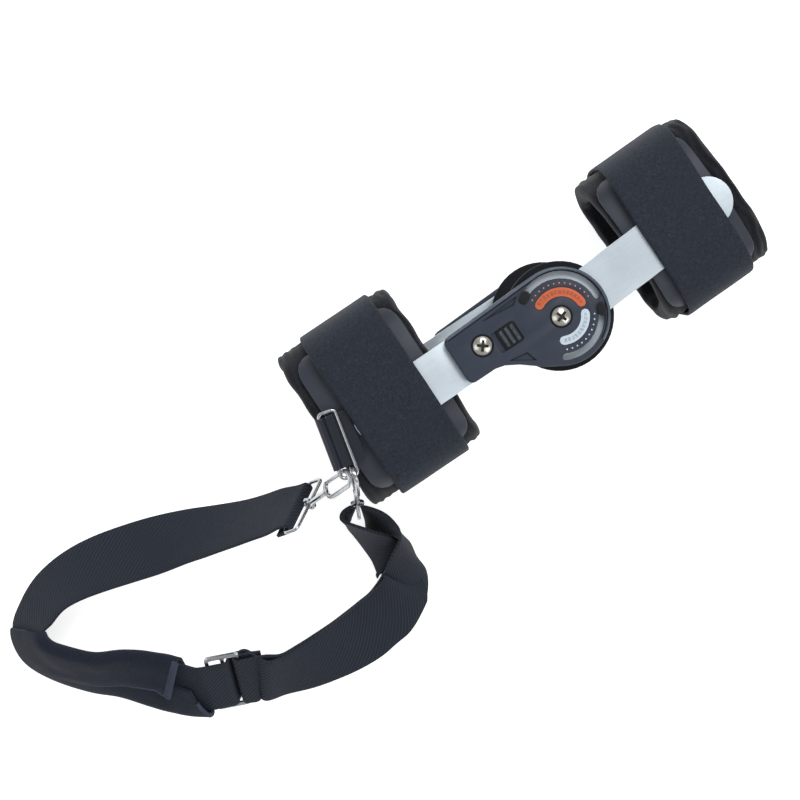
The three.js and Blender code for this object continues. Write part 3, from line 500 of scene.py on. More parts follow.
# Dial: an orange and a white printed scale let into the front cover, numbered in tens of degrees, and
# a row of printed dots outside each one for the stops to be set against.
ORANGE_SCALE = {"radius": 15.3 * MM, "from": 3.6, "to": 117.4, "count": 13}
WHITE_SCALE = {"radius": 15.1 * MM, "from": -29, "to": -113.4, "count": 10}
DOT_CIRCLE = 20.8 * MM
DOT_RADIUS = 0.5 * MM
NUMBER_HEIGHT = 2.5 * MM
PRINT_LIFT = 0.06 * MM
NUMBER_INK = 0.03 * MM
DOT_INK = 0.08 * MM


def printed(name, paper_colour, mottle):
    """Screen print on vinyl film: even colour with a slight mottle and a soft gloss."""
    material = new_material(name)
    here = add_node(material, "ShaderNodeTexCoord", {})
    ink = add_node(material, "ShaderNodeTexNoise", {
        "Vector": here.outputs["Object"], "Scale": 1 / (0.8 * MM), "Detail": 3})
    tone = add_node(material, "ShaderNodeMixRGB", {
        "Fac": ink.outputs["Fac"], "Color1": linear(paper_colour), "Color2": linear(mottle)})
    add_node(material, "Principled BSDF", {
        "Base Color": tone.outputs["Color"], "Roughness": 0.5, "Specular IOR Level": 0.3})
    return material


orange_film = printed("orange_vinyl_print", "#cc6844", "#be6040")
white_film = printed("white_vinyl_print", "#bccad6", "#cad7e2")
brown_ink = printed("brown_screen_ink", "#7d3d20", "#8e4a2a")
grey_ink = printed("grey_screen_ink", "#74808d", "#8793a0")
pink_ink = printed("pale_orange_screen_ink", "#d99a8c", "#c98273")
white_ink = printed("white_screen_ink", "#e4e8ee", "#cfd5de")
dress("flexion_label", orange_film, 0.1 * MM)
dress("extension_label", white_film, 0.1 * MM)


def join_pieces(parts, name):
    """The parts made one mesh, with their places in it."""
    bpy.ops.object.select_all(action="DESELECT")
    for part in parts:
        part.select_set(True)
    bpy.context.view_layer.objects.active = parts[0]
    if len(parts) > 1:
        bpy.ops.object.join()
    joined = bpy.context.object
    joined.name = joined.data.name = name
    bpy.ops.object.transform_apply(location=True, rotation=True, scale=True)
    return joined


def scale_turn(scale, i):
    """The angle of one mark of a scale, in degrees."""
    return scale["from"] + (scale["to"] - scale["from"]) * i / (scale["count"] - 1)


def scale_numbers(name, scale):
    """The scale's numbers, each reading outwards along its radius."""
    parts = []
    for i in range(scale["count"]):
        turn = scale_turn(scale, i)
        bpy.ops.object.select_all(action="DESELECT")
        bpy.ops.object.text_add()
        number = bpy.context.object
        number.data.body = str(10 * i)
        number.data.size = NUMBER_HEIGHT
        number.data.extrude = NUMBER_INK
        number.data.align_x = "CENTER"
        number.data.align_y = "CENTER"
        bpy.ops.object.convert(target="MESH")
        number = bpy.context.object
        number.location = on_circle(scale["radius"], turn, BRACE_HEIGHT + PRINT_LIFT)
        number.rotation_euler = (0, 0, math.radians(turn))
        parts.append(number)
    return join_pieces(parts, name)


def scale_dots(name, scale):
    """A printed dot for each number, thin as the ink."""
    parts = []
    for i in range(scale["count"]):
        bpy.ops.object.select_all(action="DESELECT")
        bpy.ops.mesh.primitive_cylinder_add(
            vertices=12, radius=DOT_RADIUS, depth=DOT_INK,
            location=on_circle(DOT_CIRCLE, scale_turn(scale, i), BRACE_HEIGHT + DOT_INK / 2))
        parts.append(bpy.context.object)
    return join_pieces(parts, name)


hand_over(scale_numbers("flexion_numbers", ORANGE_SCALE), "forearm", brown_ink, "orange_label")
hand_over(scale_numbers("extension_numbers", WHITE_SCALE), "forearm", grey_ink, "white_label")
hand_over(scale_dots("flexion_dots", ORANGE_SCALE), "forearm", pink_ink, "orange_label")
hand_over(scale_dots("extension_dots", WHITE_SCALE), "forearm", white_ink, "white_label")

# Screws: two domed steel screws with a cross recess hold the front cover, one through the hinge and
# one through the lever. Plain pins hold the back cover.
SCREW_RADIUS = 6 * MM
SCREW_RISE = 2 * MM
SCREW_SEAT = BRACE_HEIGHT + 0.3 * MM
SCREW_SHAFT = 3 * MM
SLOT_WIDTH = 1.8 * MM
SLOT_LENGTH = 7.4 * MM
SLOT_DEPTH = 1.7 * MM
SHADE_RING_WIRE = 0.6 * MM
SHADE_RING_TURNS = range(0, 360, 6)
RECESS_SHADE = 0.2 * MM
LEVER_SCREW = (-50.9 * MM, 12.1 * MM)
# Nickel-plated steel: bright, warm silver, with faint polishing haze.
nickel_steel = new_material("nickel_plated_steel")
here = add_node(nickel_steel, "ShaderNodeTexCoord", {})
haze = add_node(nickel_steel, "ShaderNodeTexNoise", {
    "Vector": here.outputs["Object"], "Scale": 1 / (2.2 * MM), "Detail": 4})
tone = add_node(nickel_steel, "ShaderNodeMixRGB", {
    "Fac": haze.outputs["Fac"], "Color1": linear("#a8a59c"), "Color2": linear("#d6d4cd")})
gloss = add_node(nickel_steel, "ShaderNodeMapRange", {
    "Value": haze.outputs["Fac"], "To Min": 0.12, "To Max": 0.34})
add_node(nickel_steel, "Principled BSDF", {
    "Base Color": tone.outputs["Color"], "Metallic": 1, "Roughness": gloss.outputs["Result"]})

# The cross recess: painted shade, dark steel on the faces that lie in shade down in the recess.
recess_shade_steel = new_material("steel_painted_recess_shade")
here = add_node(recess_shade_steel, "ShaderNodeTexCoord", {})
shade_mottle = add_node(recess_shade_steel, "ShaderNodeTexNoise", {
    "Vector": here.outputs["Object"], "Scale": 1 / (0.8 * MM), "Detail": 3})
tone = add_node(recess_shade_steel, "ShaderNodeMixRGB", {
    "Fac": shade_mottle.outputs["Fac"], "Color1": linear("#1d1b18"), "Color2": linear("#4a463f")})
add_node(recess_shade_steel, "Principled BSDF", {
    "Base Color": tone.outputs["Color"], "Metallic": 0.5, "Roughness": 0.6})


def domed_screw(name, x, y, turn, node):
    """A ball is cut down to a dome, its flat side drawn down into the shaft, and a cross cut in its top."""
    ball = (SCREW_RADIUS ** 2 + SCREW_RISE ** 2) / (2 * SCREW_RISE)
    bpy.ops.object.select_all(action="DESELECT")
    bpy.ops.mesh.primitive_uv_sphere_add(
        segments=48, ring_count=64, radius=ball, location=(x, y, SCREW_SEAT + SCREW_RISE - ball))
    screw = bpy.context.object
    bpy.ops.object.transform_apply(location=True)
    bpy.ops.object.mode_set(mode="EDIT")
    bpy.ops.mesh.select_all(action="SELECT")
    bpy.ops.mesh.bisect(
        plane_co=(x, y, SCREW_SEAT), plane_no=(0, 0, 1), use_fill=True, clear_inner=True)
    bpy.ops.mesh.inset(thickness=SCREW_RADIUS - SCREW_SHAFT)
    bpy.ops.mesh.extrude_region_move(
        TRANSFORM_OT_translate={"value": (0, 0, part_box(node)[0][2] - SCREW_SEAT)})
    bpy.ops.object.mode_set(mode="OBJECT")
    screw.name = screw.data.name = name
    for quarter in (0, 90):
        bpy.ops.object.select_all(action="DESELECT")
        bpy.ops.mesh.primitive_cube_add(size=1, location=(x, y, SCREW_SEAT + SCREW_RISE))
        cutter = bpy.context.object
        cutter.scale = (SLOT_LENGTH, SLOT_WIDTH, 2 * SLOT_DEPTH)
        cutter.rotation_euler = (0, 0, math.radians(turn + quarter))
        apply_modifier(screw, "BOOLEAN", object=cutter, operation="DIFFERENCE")
        bpy.data.objects.remove(cutter)
    hand_over(screw, "forearm", nickel_steel, "bright_steel", node)
    # Faces down in the cross recess take the dark steel: painted shade.
    screw.data.materials.append(recess_shade_steel)
    for face in screw.data.polygons:
        from_axis = math.hypot(face.center.x - x, face.center.y - y)
        dome = SCREW_SEAT + SCREW_RISE - ball + math.sqrt(max(0, ball ** 2 - from_axis ** 2))
        if SCREW_SEAT < face.center.z < dome - RECESS_SHADE:
            face.material_index = 1
    bpy.ops.object.select_all(action="DESELECT")
    screw.select_set(True)
    bpy.ops.object.shade_smooth_by_angle(angle=math.radians(30))
    # A black ring round the dome's edge: painted shade of the gap under the head.
    shade_ring_radius = SCREW_RADIUS + SHADE_RING_WIRE
    shade_ring = [Vector((x, y, 0)) + on_circle(shade_ring_radius, angle, BRACE_HEIGHT) for angle in SHADE_RING_TURNS]
    shade_ring_tube = tube(name + "_seat", shade_ring, SHADE_RING_WIRE, cyclic=True)
    hand_over(shade_ring_tube, "forearm", black_acetal, "dark_plastic")


domed_screw("domed_pivot_screw", 0, 0, 20, "pivot_screw")
domed_screw("domed_lever_screw", *LEVER_SCREW, 52, "lever_screw")
for node in ["pivot_pin_back", "lever_pin_back"]:
    dress(node, nickel_steel, 0.2 * MM)

# Stops and lock: two oval stop buttons run in the dial's slots and set how far the elbow bends and
# straightens, and a ribbed slider in the lever locks it. All are black plastic.
# Polished acetal: black, glossy from fingers, so its edges and ribs catch the soft boxes.
polished_acetal = new_material("polished_black_acetal")
here = add_node(polished_acetal, "ShaderNodeTexCoord", {})
rubbed = add_node(polished_acetal, "ShaderNodeTexNoise", {
    "Vector": here.outputs["Object"], "Scale": 1 / (1.5 * MM), "Detail": 3})
tone = add_node(polished_acetal, "ShaderNodeMixRGB", {
    "Fac": rubbed.outputs["Fac"], "Color1": linear("#0a0c0f"), "Color2": linear("#191c21")})
gloss = add_node(polished_acetal, "ShaderNodeMapRange", {
    "Value": rubbed.outputs["Fac"], "To Min": 0.2, "To Max": 0.36})
add_node(polished_acetal, "Principled BSDF", {
    "Base Color": tone.outputs["Color"], "Roughness": gloss.outputs["Result"], "Specular IOR Level": 0.4})

for node in ["flexion_stop", "extension_stop"]:
    dress(node, polished_acetal, 0.6 * MM)

# Acetal with painted highlight: the slider's rib crests, its highest parts, are painted grey in noisy
# patches as highlight, and black between.
crest_highlight_acetal = new_material("acetal_painted_crest_highlight")
here = add_node(crest_highlight_acetal, "ShaderNodeTexCoord", {})
split = add_node(crest_highlight_acetal, "ShaderNodeSeparateXYZ", {"Vector": here.outputs["Object"]})
crest_highlight = add_node(crest_highlight_acetal, "ShaderNodeMapRange", {
    "Value": split.outputs["Z"], "From Min": BRACE_HEIGHT + 1.2 * MM, "From Max": BRACE_HEIGHT + 1.9 * MM})
rubbed = add_node(crest_highlight_acetal, "ShaderNodeTexNoise", {
    "Vector": here.outputs["Object"], "Scale": 1 / (2 * MM), "Detail": 3})
share = add_node(crest_highlight_acetal, "ShaderNodeMath", {
    0: crest_highlight.outputs["Result"], 1: rubbed.outputs["Fac"]}, operation="MULTIPLY")
tone = add_node(crest_highlight_acetal, "ShaderNodeMixRGB", {
    "Fac": share.outputs["Value"], "Color1": linear("#0a0c0f"), "Color2": linear("#59616c")})
add_node(crest_highlight_acetal, "Principled BSDF", {
    "Base Color": tone.outputs["Color"], "Roughness": 0.3, "Specular IOR Level": 0.4})
dress("lock_slider", crest_highlight_acetal, 0.25 * MM)

# Sling ring: a rectangle of steel wire with round corners, lying on the forearm cuff. A band of dark
# blue vinyl is wrapped round its outer side and sewn down on the shell.
WIRE_RADIUS = 1.2 * MM
RING_PLACE = Matrix.Translation((-159.5 * MM, 10.75 * MM, 107.4 * MM)) @ Matrix.Rotation(
    math.radians(-13), 4, "Z")
RING_ACROSS = 11 * MM
RING_ALONG = 43 * MM
RING_CORNER = 2.6 * MM
BAND_THICK = 1.5 * MM
BAND_SPAN = (-15 * MM, 19 * MM)
BAND_GAP = 0.3 * MM
BAND_REACH = (13.3 * MM, 4 * MM)
# The band's sewn-down flap: along it from the wrapped wire, and up, in millimetres.
BAND_FLAP = [(3.2, -0.3), (4.4, -0.65), (6.5, -0.7), (8.6, -0.7)]


def rounded_rectangle(across, along, corner, steps=8):
    """Points round a rectangle with round corners, given between wire centres."""
    points = []
    for quarter, (sx, sy) in enumerate([(1, 1), (-1, 1), (-1, -1), (1, -1)]):
        for i in range(steps + 1):
            turn = math.radians(90 * quarter + 90 * i / steps)
            points.append(Vector((
                sx * (across / 2 - corner) + corner * math.cos(turn),
                sy * (along / 2 - corner) + corner * math.sin(turn), 0)))
    return points


# Bright plated wire and castings: cool silver, sharp reflections, a little dulled by handling.
bright_steel = new_material("bright_plated_steel")
here = add_node(bright_steel, "ShaderNodeTexCoord", {})
haze = add_node(bright_steel, "ShaderNodeTexNoise", {
    "Vector": here.outputs["Object"], "Scale": 1 / (3 * MM), "Detail": 4})
tone = add_node(bright_steel, "ShaderNodeMixRGB", {
    "Fac": haze.outputs["Fac"], "Color1": linear("#9a9ea3"), "Color2": linear("#c6cacd")})
gloss = add_node(bright_steel, "ShaderNodeMapRange", {
    "Value": haze.outputs["Fac"], "To Min": 0.16, "To Max": 0.3})
add_node(bright_steel, "Principled BSDF", {
    "Base Color": tone.outputs["Color"], "Metallic": 1, "Roughness": gloss.outputs["Result"]})

ring_line = rounded_rectangle(RING_ACROSS, RING_ALONG, RING_CORNER)
ring_wire = tube("ring_wire", [RING_PLACE @ p for p in ring_line], WIRE_RADIUS, cyclic=True)
hand_over(ring_wire, "forearm", bright_steel, "bright_steel", "sling_ring")

# Vinyl band: dark blue, smooth, a long soft highlight along its roll.
blue_vinyl = new_material("dark_blue_vinyl")
here = add_node(blue_vinyl, "ShaderNodeTexCoord", {})
grain = add_node(blue_vinyl, "ShaderNodeTexNoise", {
    "Vector": here.outputs["Object"], "Scale": 1 / (1 * MM), "Detail": 3})
tone = add_node(blue_vinyl, "ShaderNodeMixRGB", {
    "Fac": grain.outputs["Fac"], "Color1": linear("#10151e"), "Color2": linear("#19212f")})
height = add_node(blue_vinyl, "ShaderNodeBump", {
    "Height": grain.outputs["Fac"], "Strength": 0.15, "Distance": 0.15 * MM})
add_node(blue_vinyl, "Principled BSDF", {
    "Base Color": tone.outputs["Color"], "Roughness": 0.28, "Specular IOR Level": 0.5,
    "Normal": height.outputs["Normal"]})


def curve_point(points, place):
    """A point of a smooth line through the points, at a place counted in points."""
    i = min(len(points) - 2, int(place))
    a, b = points[i], points[i + 1]
    before = points[i - 1] if i > 0 else 2 * a - b
    after = points[i + 2] if i + 2 < len(points) else 2 * b - a
    t = place - i
    leave, arrive = (b - before) / 2, (after - a) / 2
    return (
        (2 * t ** 3 - 3 * t ** 2 + 1) * a + (t ** 3 - 2 * t ** 2 + t) * leave
        + (3 * t ** 2 - 2 * t ** 3) * b + (t ** 3 - t ** 2) * arrive)


def cloth_grid(name, rows, columns, point_at):
    """A sheet whose corners run from 0 to 1 both ways, laid by point_at(along, across)."""
    bpy.ops.object.select_all(action="DESELECT")
    bpy.ops.mesh.primitive_grid_add(x_subdivisions=rows, y_subdivisions=columns, size=1)
    piece = bpy.context.object
    piece.name = piece.data.name = name
    for vertex in piece.data.vertices:
        vertex.co = point_at(vertex.co.x + 0.5, vertex.co.y + 0.5)
    return piece


band_radius = WIRE_RADIUS + BAND_GAP + BAND_THICK / 2
wrap_x = -RING_ACROSS / 2
band_line = [Vector((x, -band_radius)) for x in BAND_REACH]
band_line += [
    Vector((wrap_x + band_radius * math.cos(math.radians(t)), band_radius * math.sin(math.radians(t))))
    for t in range(270, 19, -25)]
band_line += [Vector((wrap_x + x * MM, z * MM)) for x, z in BAND_FLAP]


def band_point(along, across):
    """A point of the band: along its wrap and across it, along the ring."""
    x, z = curve_point(band_line, along * (len(band_line) - 1))
    y = BAND_SPAN[0] + across * (BAND_SPAN[1] - BAND_SPAN[0])
    return RING_PLACE @ Vector((x, y, z))


vinyl_band = cloth_grid("vinyl_band", 90, 20, band_point)
apply_modifier(vinyl_band, "SOLIDIFY", thickness=BAND_THICK, offset=0)
apply_modifier(vinyl_band, "BEVEL", width=0.3 * MM, segments=2, limit_method="ANGLE")
hand_over(vinyl_band, "forearm", blue_vinyl, "ring_band", "ring_band")

# Snap hooks: two cast hooks with sprung gates hang on the ring, and each swivels on a rectangular
# wire loop that the sling's webbing is folded through.
for node in ["hook_body_1", "hook_body_2", "hook_gate_1", "hook_gate_2"]:
    dress(node, bright_steel, 0.35 * MM)

LOOP_ACROSS = 11 * MM
LOOP_ALONG = 48 * MM
LOOP_CORNER = 3 * MM
LOOP_LENGTH_1 = Vector((-0.602, -0.309, 0.736)).normalized()
LOOP_ACROSS_1 = Vector((-0.795, 0.149, -0.588)).normalized()
TAIL_1 = Vector((-198.063, -14.087, 65.894)) * MM
TAIL_2 = Vector((-172.480, -31.702, 60.981)) * MM
LOOP_LENGTH_2 = Vector((0, 0, 1))
LOOP_ACROSS_2 = Vector((-0.436, -0.9, 0)).normalized()
LOOP_SETBACK_2 = 4.4 * MM


def axes_at(origin, x_axis, y_axis):
    """The place of a loop, from its centre and the directions of its two sides."""
    place = Matrix((x_axis, y_axis, x_axis.cross(y_axis))).transposed().to_4x4()
    return Matrix.Translation(origin) @ place


loop_centre_2 = TAIL_2 + LOOP_SETBACK_2 * LOOP_ACROSS_2 - LOOP_ALONG / 2 * LOOP_LENGTH_2
loop_places = [
    axes_at(TAIL_1 + LOOP_ACROSS / 2 * LOOP_ACROSS_1, LOOP_ACROSS_1, LOOP_LENGTH_1),
    axes_at(loop_centre_2, LOOP_ACROSS_2, LOOP_LENGTH_2),
]
loop_line = rounded_rectangle(LOOP_ACROSS, LOOP_ALONG, LOOP_CORNER)
for number, place in enumerate(loop_places, 1):
    loop_wire = tube(f"loop_wire_{number}", [place @ p for p in loop_line], WIRE_RADIUS, cyclic=True)
    hand_over(loop_wire, "forearm", bright_steel, "bright_steel", f"web_loop_{number}")

# Sling webbing: one length of ribbed polyester webbing. It is sewn round the buckle's end bar, runs to
# the second hook, folds round its loop and back beneath itself, threads the buckle, goes round the
# shoulder and is folded and sewn round the first hook's loop.
WEB_WIDTH = 41 * MM
WEB_THICK = 2 * MM
WEB_STEP = 2.5 * MM
UP = Vector((0, 0, 1))
# Each row: x, y, z of the strap's middle and the turn of its width in degrees.
OUTER_STRAND = [
    (-290.8, -98, 19, 140), (-279.4, -104.1, 17.2, 137), (-264.4, -108.2, 15.4, 144),
    (-250.5, -110.7, 13.5, 151), (-234.8, -112.7, 11.2, 159), (-220.5, -113.3, 9, 165),
    (-208.5, -112, 9.2, 163),
]
# Each row: a point of the fold's upper edge and the point of its lower edge across the strap.
FOLD = [
    (-200, -91, 17, -192, -129, 4), (-186.5, -83.5, 26, -172.5, -119, 5),
    (-174.5, -76, 35, -162.5, -104, 5), (-164.5, -70, 42, -162.5, -90.5, 6),
    (-161, -65, 46.5, -161.5, -76, 8), (-159.5, -59.5, 50, -174, -67.5, 10),
    (-160.5, -50, 52, -180, -57.5, 12), (-166, -41.5, 54, -176, -48.5, 14),
    (-173.5, -33.5, 55.5, -173.3, -36.5, 15), (-178.5, -31.5, 55.5, -182, -41, 15),
    (-183.5, -31.5, 55.5, -185, -43.5, 14.5), (-186.5, -33.5, 55.5, -187, -44.5, 14.5),
    (-187, -36.5, 55.5, -188.5, -45.5, 14), (-183.5, -42, 54, -189, -48.5, 13.5),
    (-178, -49.5, 51, -188.5, -55.5, 11), (-173.5, -56.5, 46, -188, -66, 9),
    (-168.5, -64.5, 38, -188, -77, 6), (-168, -74.5, 26, -188.5, -86, 6.5),
]
SHOULDER_RUN = [
    (-336, -79, 18, 36), (-345, -70, 16.5, 33), (-353.5, -60, 17, 34), (-368.5, -44, 19, 42),
    (-385, -31.5, 20.5, 50), (-401, -12, 21, 54), (-407, 2.5, 21.5, 55), (-404, 16, 20.5, 54),
    (-392.5, 23, 19, 51), (-380, 28, 18, 48), (-368, 29.4, 16.5, 44), (-355, 28.6, 15, 38),
    (-341, 26, 13.5, 32), (-325, 21.8, 12.5, 28), (-305, 16, 13.5, 28), (-283, 9.7, 18.5, 39),
    (-268, 4.6, 23.5, 46), (-256, 0.8, 28.5, 52), (-244, -2.6, 35, 57), (-232, -5.2, 42, 60),
    (-221, -7.2, 49.5, 61),
]
BUCKLE_CENTRE = Vector((-314, -88, 18.4)) * MM
BUCKLE_LEAN = math.radians(35)
BUCKLE_ALONG = Vector((0.921, -0.389, 0))
BUCKLE_WIDTH = math.cos(BUCKLE_LEAN) * Vector((0.389, 0.921, 0)) + math.sin(BUCKLE_LEAN) * UP
BUCKLE_UP = BUCKLE_ALONG.cross(BUCKLE_WIDTH)
BAR_PITCH = 10.4
FOLD_RADIUS = 2.8
# Where the fold's inner strand is tucked beneath: its middle, its width's direction and half width.
TUCKED = (Vector((-178, -91, 8)) * MM, Vector((0.88, -0.42, 0.24)), 10 * MM)
ROWS_PER_STATION = 6


def neighbours(items, i):
    return items[max(0, i - 1)], items[min(len(items) - 1, i + 1)]


def strand(rows):
    """Stations of the strap, each its middle, the direction of its width and its half width."""
    middles = [Vector(row[:3]) * MM for row in rows]
    stations = []
    for i, row in enumerate(rows):
        before, after = neighbours(middles, i)
        along = (after - before).normalized()
        right = along.cross(UP).normalized()
        turn = math.radians(row[3])
        width = math.cos(turn) * right + math.sin(turn) * right.cross(along)
        stations.append((middles[i], width, WEB_WIDTH / 2))
    return stations


def half_turn(centre_x, first, last):
    """The strap's turn round a bar, in millimetres along the strap and up from the bar."""
    turns = [math.radians(first + (last - first) * i / 6) for i in range(7)]
    return [(centre_x + FOLD_RADIUS * math.cos(t), FOLD_RADIUS * math.sin(t)) for t in turns]


def at_buckle(route):
    """Stations of the strap at the buckle, from a route given beside its middle bar."""
    return [
        (BUCKLE_CENTRE + MM * (s * BUCKLE_ALONG + h * BUCKLE_UP), BUCKLE_WIDTH.copy(), WEB_WIDTH / 2)
        for s, h in route]


def other_face(stations):
    """The same stations with the strap's other face up."""
    return [(middle, -width, half) for middle, width, half in stations]


outer = strand(OUTER_STRAND)
fold = []
for row in FOLD:
    upper, lower = Vector(row[:3]) * MM, Vector(row[3:]) * MM
    fold.append(((upper + lower) / 2, (upper - lower).normalized(), WEB_WIDTH / 2))
overlaid = outer + fold[:2]
inner = []
for i, (middle, width, half) in enumerate(overlaid):
    before, after = neighbours(overlaid, i)
    top = width.cross(after[0] - before[0]).normalized()
    drop = 2 * WEB_STEP if i == 0 else WEB_STEP
    inner.insert(0, (middle - drop * top, -width, half))
# Each pair: along the strap from the buckle's middle bar and up from it, in millimetres.
sewn_end = at_buckle(
    [(26, -2.2), (20, -FOLD_RADIUS), (BAR_PITCH + 2, -FOLD_RADIUS)] + half_turn(BAR_PITCH, 270, 90)
    + [(BAR_PITCH + 2, FOLD_RADIUS), (17, FOLD_RADIUS)])
threaded = at_buckle([
    (17, -5.6), (11, -5.6), (7, -5.2), (4.6, -3.2), (3.6, -0.4), (2.6, 1.9), (0.4, 2.6),
    (-5, 2.6), (-11, 2.6), (-15, 2.4)])
loop_bar = TAIL_1 + LOOP_ACROSS * LOOP_ACROSS_1
fold_top = LOOP_ACROSS_1.cross(LOOP_LENGTH_1)
folded_end = [
    (loop_bar + MM * (-s * LOOP_ACROSS_1 + h * fold_top), LOOP_LENGTH_1.copy(), WEB_WIDTH / 2)
    for s, h in [(-6, FOLD_RADIUS)] + half_turn(0, 90, -90) + [(-5, -FOLD_RADIUS), (-10, -FOLD_RADIUS)]]
shoulder = strand(SHOULDER_RUN)
stations = (
    sewn_end + outer + fold + [TUCKED] + inner + other_face(threaded) + other_face(shoulder)
    + other_face(folded_end))
pad_first = len(stations) - len(folded_end) - len(shoulder)
strap_line = [middle for middle, width, half in stations]
strap_widths = [width for middle, width, half in stations]


def strap_point(place, across, up):
    """A point of the strap: place counted in stations, across its width and up from its middle."""
    place = min(max(place, 0), len(stations) - 1)
    i = min(len(stations) - 2, int(place))
    t = place - i
    ahead = curve_point(strap_line, min(len(stations) - 1, place + 0.1))
    behind = curve_point(strap_line, max(0, place - 0.1))
    width = curve_point(strap_widths, place).normalized()
    half = (1 - t) * stations[i][2] + t * stations[i + 1][2]
    top = width.cross(ahead - behind).normalized()
    return curve_point(strap_line, place) + across * half / (WEB_WIDTH / 2) * width + up * top


# Woven polyester webbing: dark slate, matt, diagonal twill ribs 2.2 mm apart that show as fine lines.
ribbed_webbing = new_material("ribbed_polyester_webbing")
threads = add_node(ribbed_webbing, "ShaderNodeTexCoord", {})
split = add_node(ribbed_webbing, "ShaderNodeSeparateXYZ", {"Vector": threads.outputs["UV"]})
slant = add_node(ribbed_webbing, "ShaderNodeMath", {
    0: split.outputs["X"], 1: split.outputs["Y"]}, operation="SUBTRACT")
phase = add_node(ribbed_webbing, "ShaderNodeMath", {
    0: slant.outputs["Value"], 1: 2 * math.pi / (2.2 * math.sqrt(2) * MM)}, operation="MULTIPLY")
rib = add_node(ribbed_webbing, "ShaderNodeMath", {0: phase.outputs["Value"]}, operation="SINE")
fuzz = add_node(ribbed_webbing, "ShaderNodeTexNoise", {
    "Vector": threads.outputs["Object"], "Scale": 1 / (0.9 * MM), "Detail": 4})
broad = add_node(ribbed_webbing, "ShaderNodeTexNoise", {
    "Vector": threads.outputs["Object"], "Scale": 1 / (25 * MM), "Detail": 2})
relief = add_node(ribbed_webbing, "ShaderNodeMath", {
    0: rib.outputs["Value"], 1: fuzz.outputs["Fac"]}, operation="ADD")
light = add_node(ribbed_webbing, "ShaderNodeMapRange", {
    "Value": relief.outputs["Value"], "From Min": -1, "From Max": 2})
tone = add_node(ribbed_webbing, "ShaderNodeMixRGB", {
    "Fac": light.outputs["Result"], "Color1": linear("#15181e"), "Color2": linear("#353b47")})
dust = add_node(ribbed_webbing, "ShaderNodeMixRGB", {
    "Fac": broad.outputs["Fac"], "Color1": tone.outputs["Color"], "Color2": linear("#262b34")})
height = add_node(ribbed_webbing, "ShaderNodeBump", {
    "Height": relief.outputs["Value"], "Strength": 0.45, "Distance": 0.3 * MM})
add_node(ribbed_webbing, "Principled BSDF", {
    "Base Color": dust.outputs["Color"], "Roughness": 0.8, "Specular IOR Level": 0.2,
    "Normal": height.outputs["Normal"]})

strap_rows = (len(stations) - 1) * ROWS_PER_STATION
walked = [0]
for i in range(strap_rows):
    here, there = (curve_point(strap_line, row / ROWS_PER_STATION) for row in (i, i + 1))
    walked.append(walked[-1] + (there - here).length)
webbing = cloth_grid(
    "ribbed_sling_strap", strap_rows, 10,
    lambda along, across: strap_point(along * (len(stations) - 1), (across - 0.5) * WEB_WIDTH, 0))
weave = webbing.data.uv_layers.active.data
for loop in weave:
    u, v = loop.uv
    loop.uv = (walked[round(u * strap_rows)], v * WEB_WIDTH)
apply_modifier(webbing, "SOLIDIFY", thickness=WEB_THICK, offset=0)
apply_modifier(
    webbing, "BEVEL", width=0.5 * MM, segments=2, limit_method="ANGLE", angle_limit=math.radians(50))
hand_over(webbing, "forearm", ribbed_webbing, "sling_webbing", "sling_webbing")

# Buckle: a flat three-bar slide of plated steel. The strap's sewn end holds one bar and the shoulder
# run threads over the middle one, so the sling's length can be set.
dress("sling_buckle", bright_steel, 0.45 * MM)

# Shoulder pad: a sheet of foam faced with brushed cloth, wrapped round the webbing with its upper flap
# laid over its lower one. The end by the buckle is cut on a slant and bound.
PAD_ROWS = 7
PAD_SHEET = 2.6 * MM
PAD_HALF = 24
PAD_SLANT_ROWS = 3
PAD_MOUTH_ROWS = 1.3
# The wrap, from the upper flap's free edge round the back to the lower flap's hidden edge:
# towards the upper edge, towards the viewer, in millimetres.
PAD_WRAP = [
    (-5, 5), (-1, 5.2), (4, 4.9), (10, 4.6), (16, 4.2), (21, 3.2), (23.6, 0.6), (22.4, -2.4), (18, -3.6),
    (10, -3.9), (0, -4), (-10, -3.9), (-18, -3.5), (-22.8, -1.6), (-23.6, 0.8), (-21, 2.6), (-15, 2.9),
    (-9, 2.7), (-4, 2.4), (2, 2.3),
]
# How far the upper flap's free edge hangs below its middle line, row by row, in millimetres.
FLAP_DROP = [-2, -2, -1, 0.5, 1.5, 4, 8, 12]
FLAP_SHARE = 0.21
FLAP_END_ROWS = 1.15
FLAP_FOLD = (0.36, 0.06)
MOUTH_FLARE = 0.9
PAD_PUFF = 0.12
PUFF_STEPS = (1.3, 90, 200)
PAD_NARROWING = 0.16
NARROW_ROWS = 1.2
pad_wrap = [Vector(point) for point in PAD_WRAP]
flap_drop = [Vector((drop, 0)) for drop in FLAP_DROP]

# Brushed nylon over foam: navy black, a dull nap with paler rubbed patches.
navy_cloth = new_material("brushed_navy_cloth")
here = add_node(navy_cloth, "ShaderNodeTexCoord", {})
nap = add_node(navy_cloth, "ShaderNodeTexNoise", {
    "Vector": here.outputs["Object"], "Scale": 1 / (1 * MM), "Detail": 5, "Roughness": 0.7})
rubbed = add_node(navy_cloth, "ShaderNodeTexNoise", {
    "Vector": here.outputs["Object"], "Scale": 1 / (9 * MM), "Detail": 4})
tufts = add_node(navy_cloth, "ShaderNodeMapRange", {
    "Value": nap.outputs["Fac"], "From Min": 0.3, "From Max": 0.7})
tone = add_node(navy_cloth, "ShaderNodeMixRGB", {
    "Fac": tufts.outputs["Result"], "Color1": linear("#0f1219"), "Color2": linear("#2e3441")})
patchy = add_node(navy_cloth, "ShaderNodeMixRGB", {
    "Fac": rubbed.outputs["Fac"], "Color1": tone.outputs["Color"], "Color2": linear("#1f2530")})
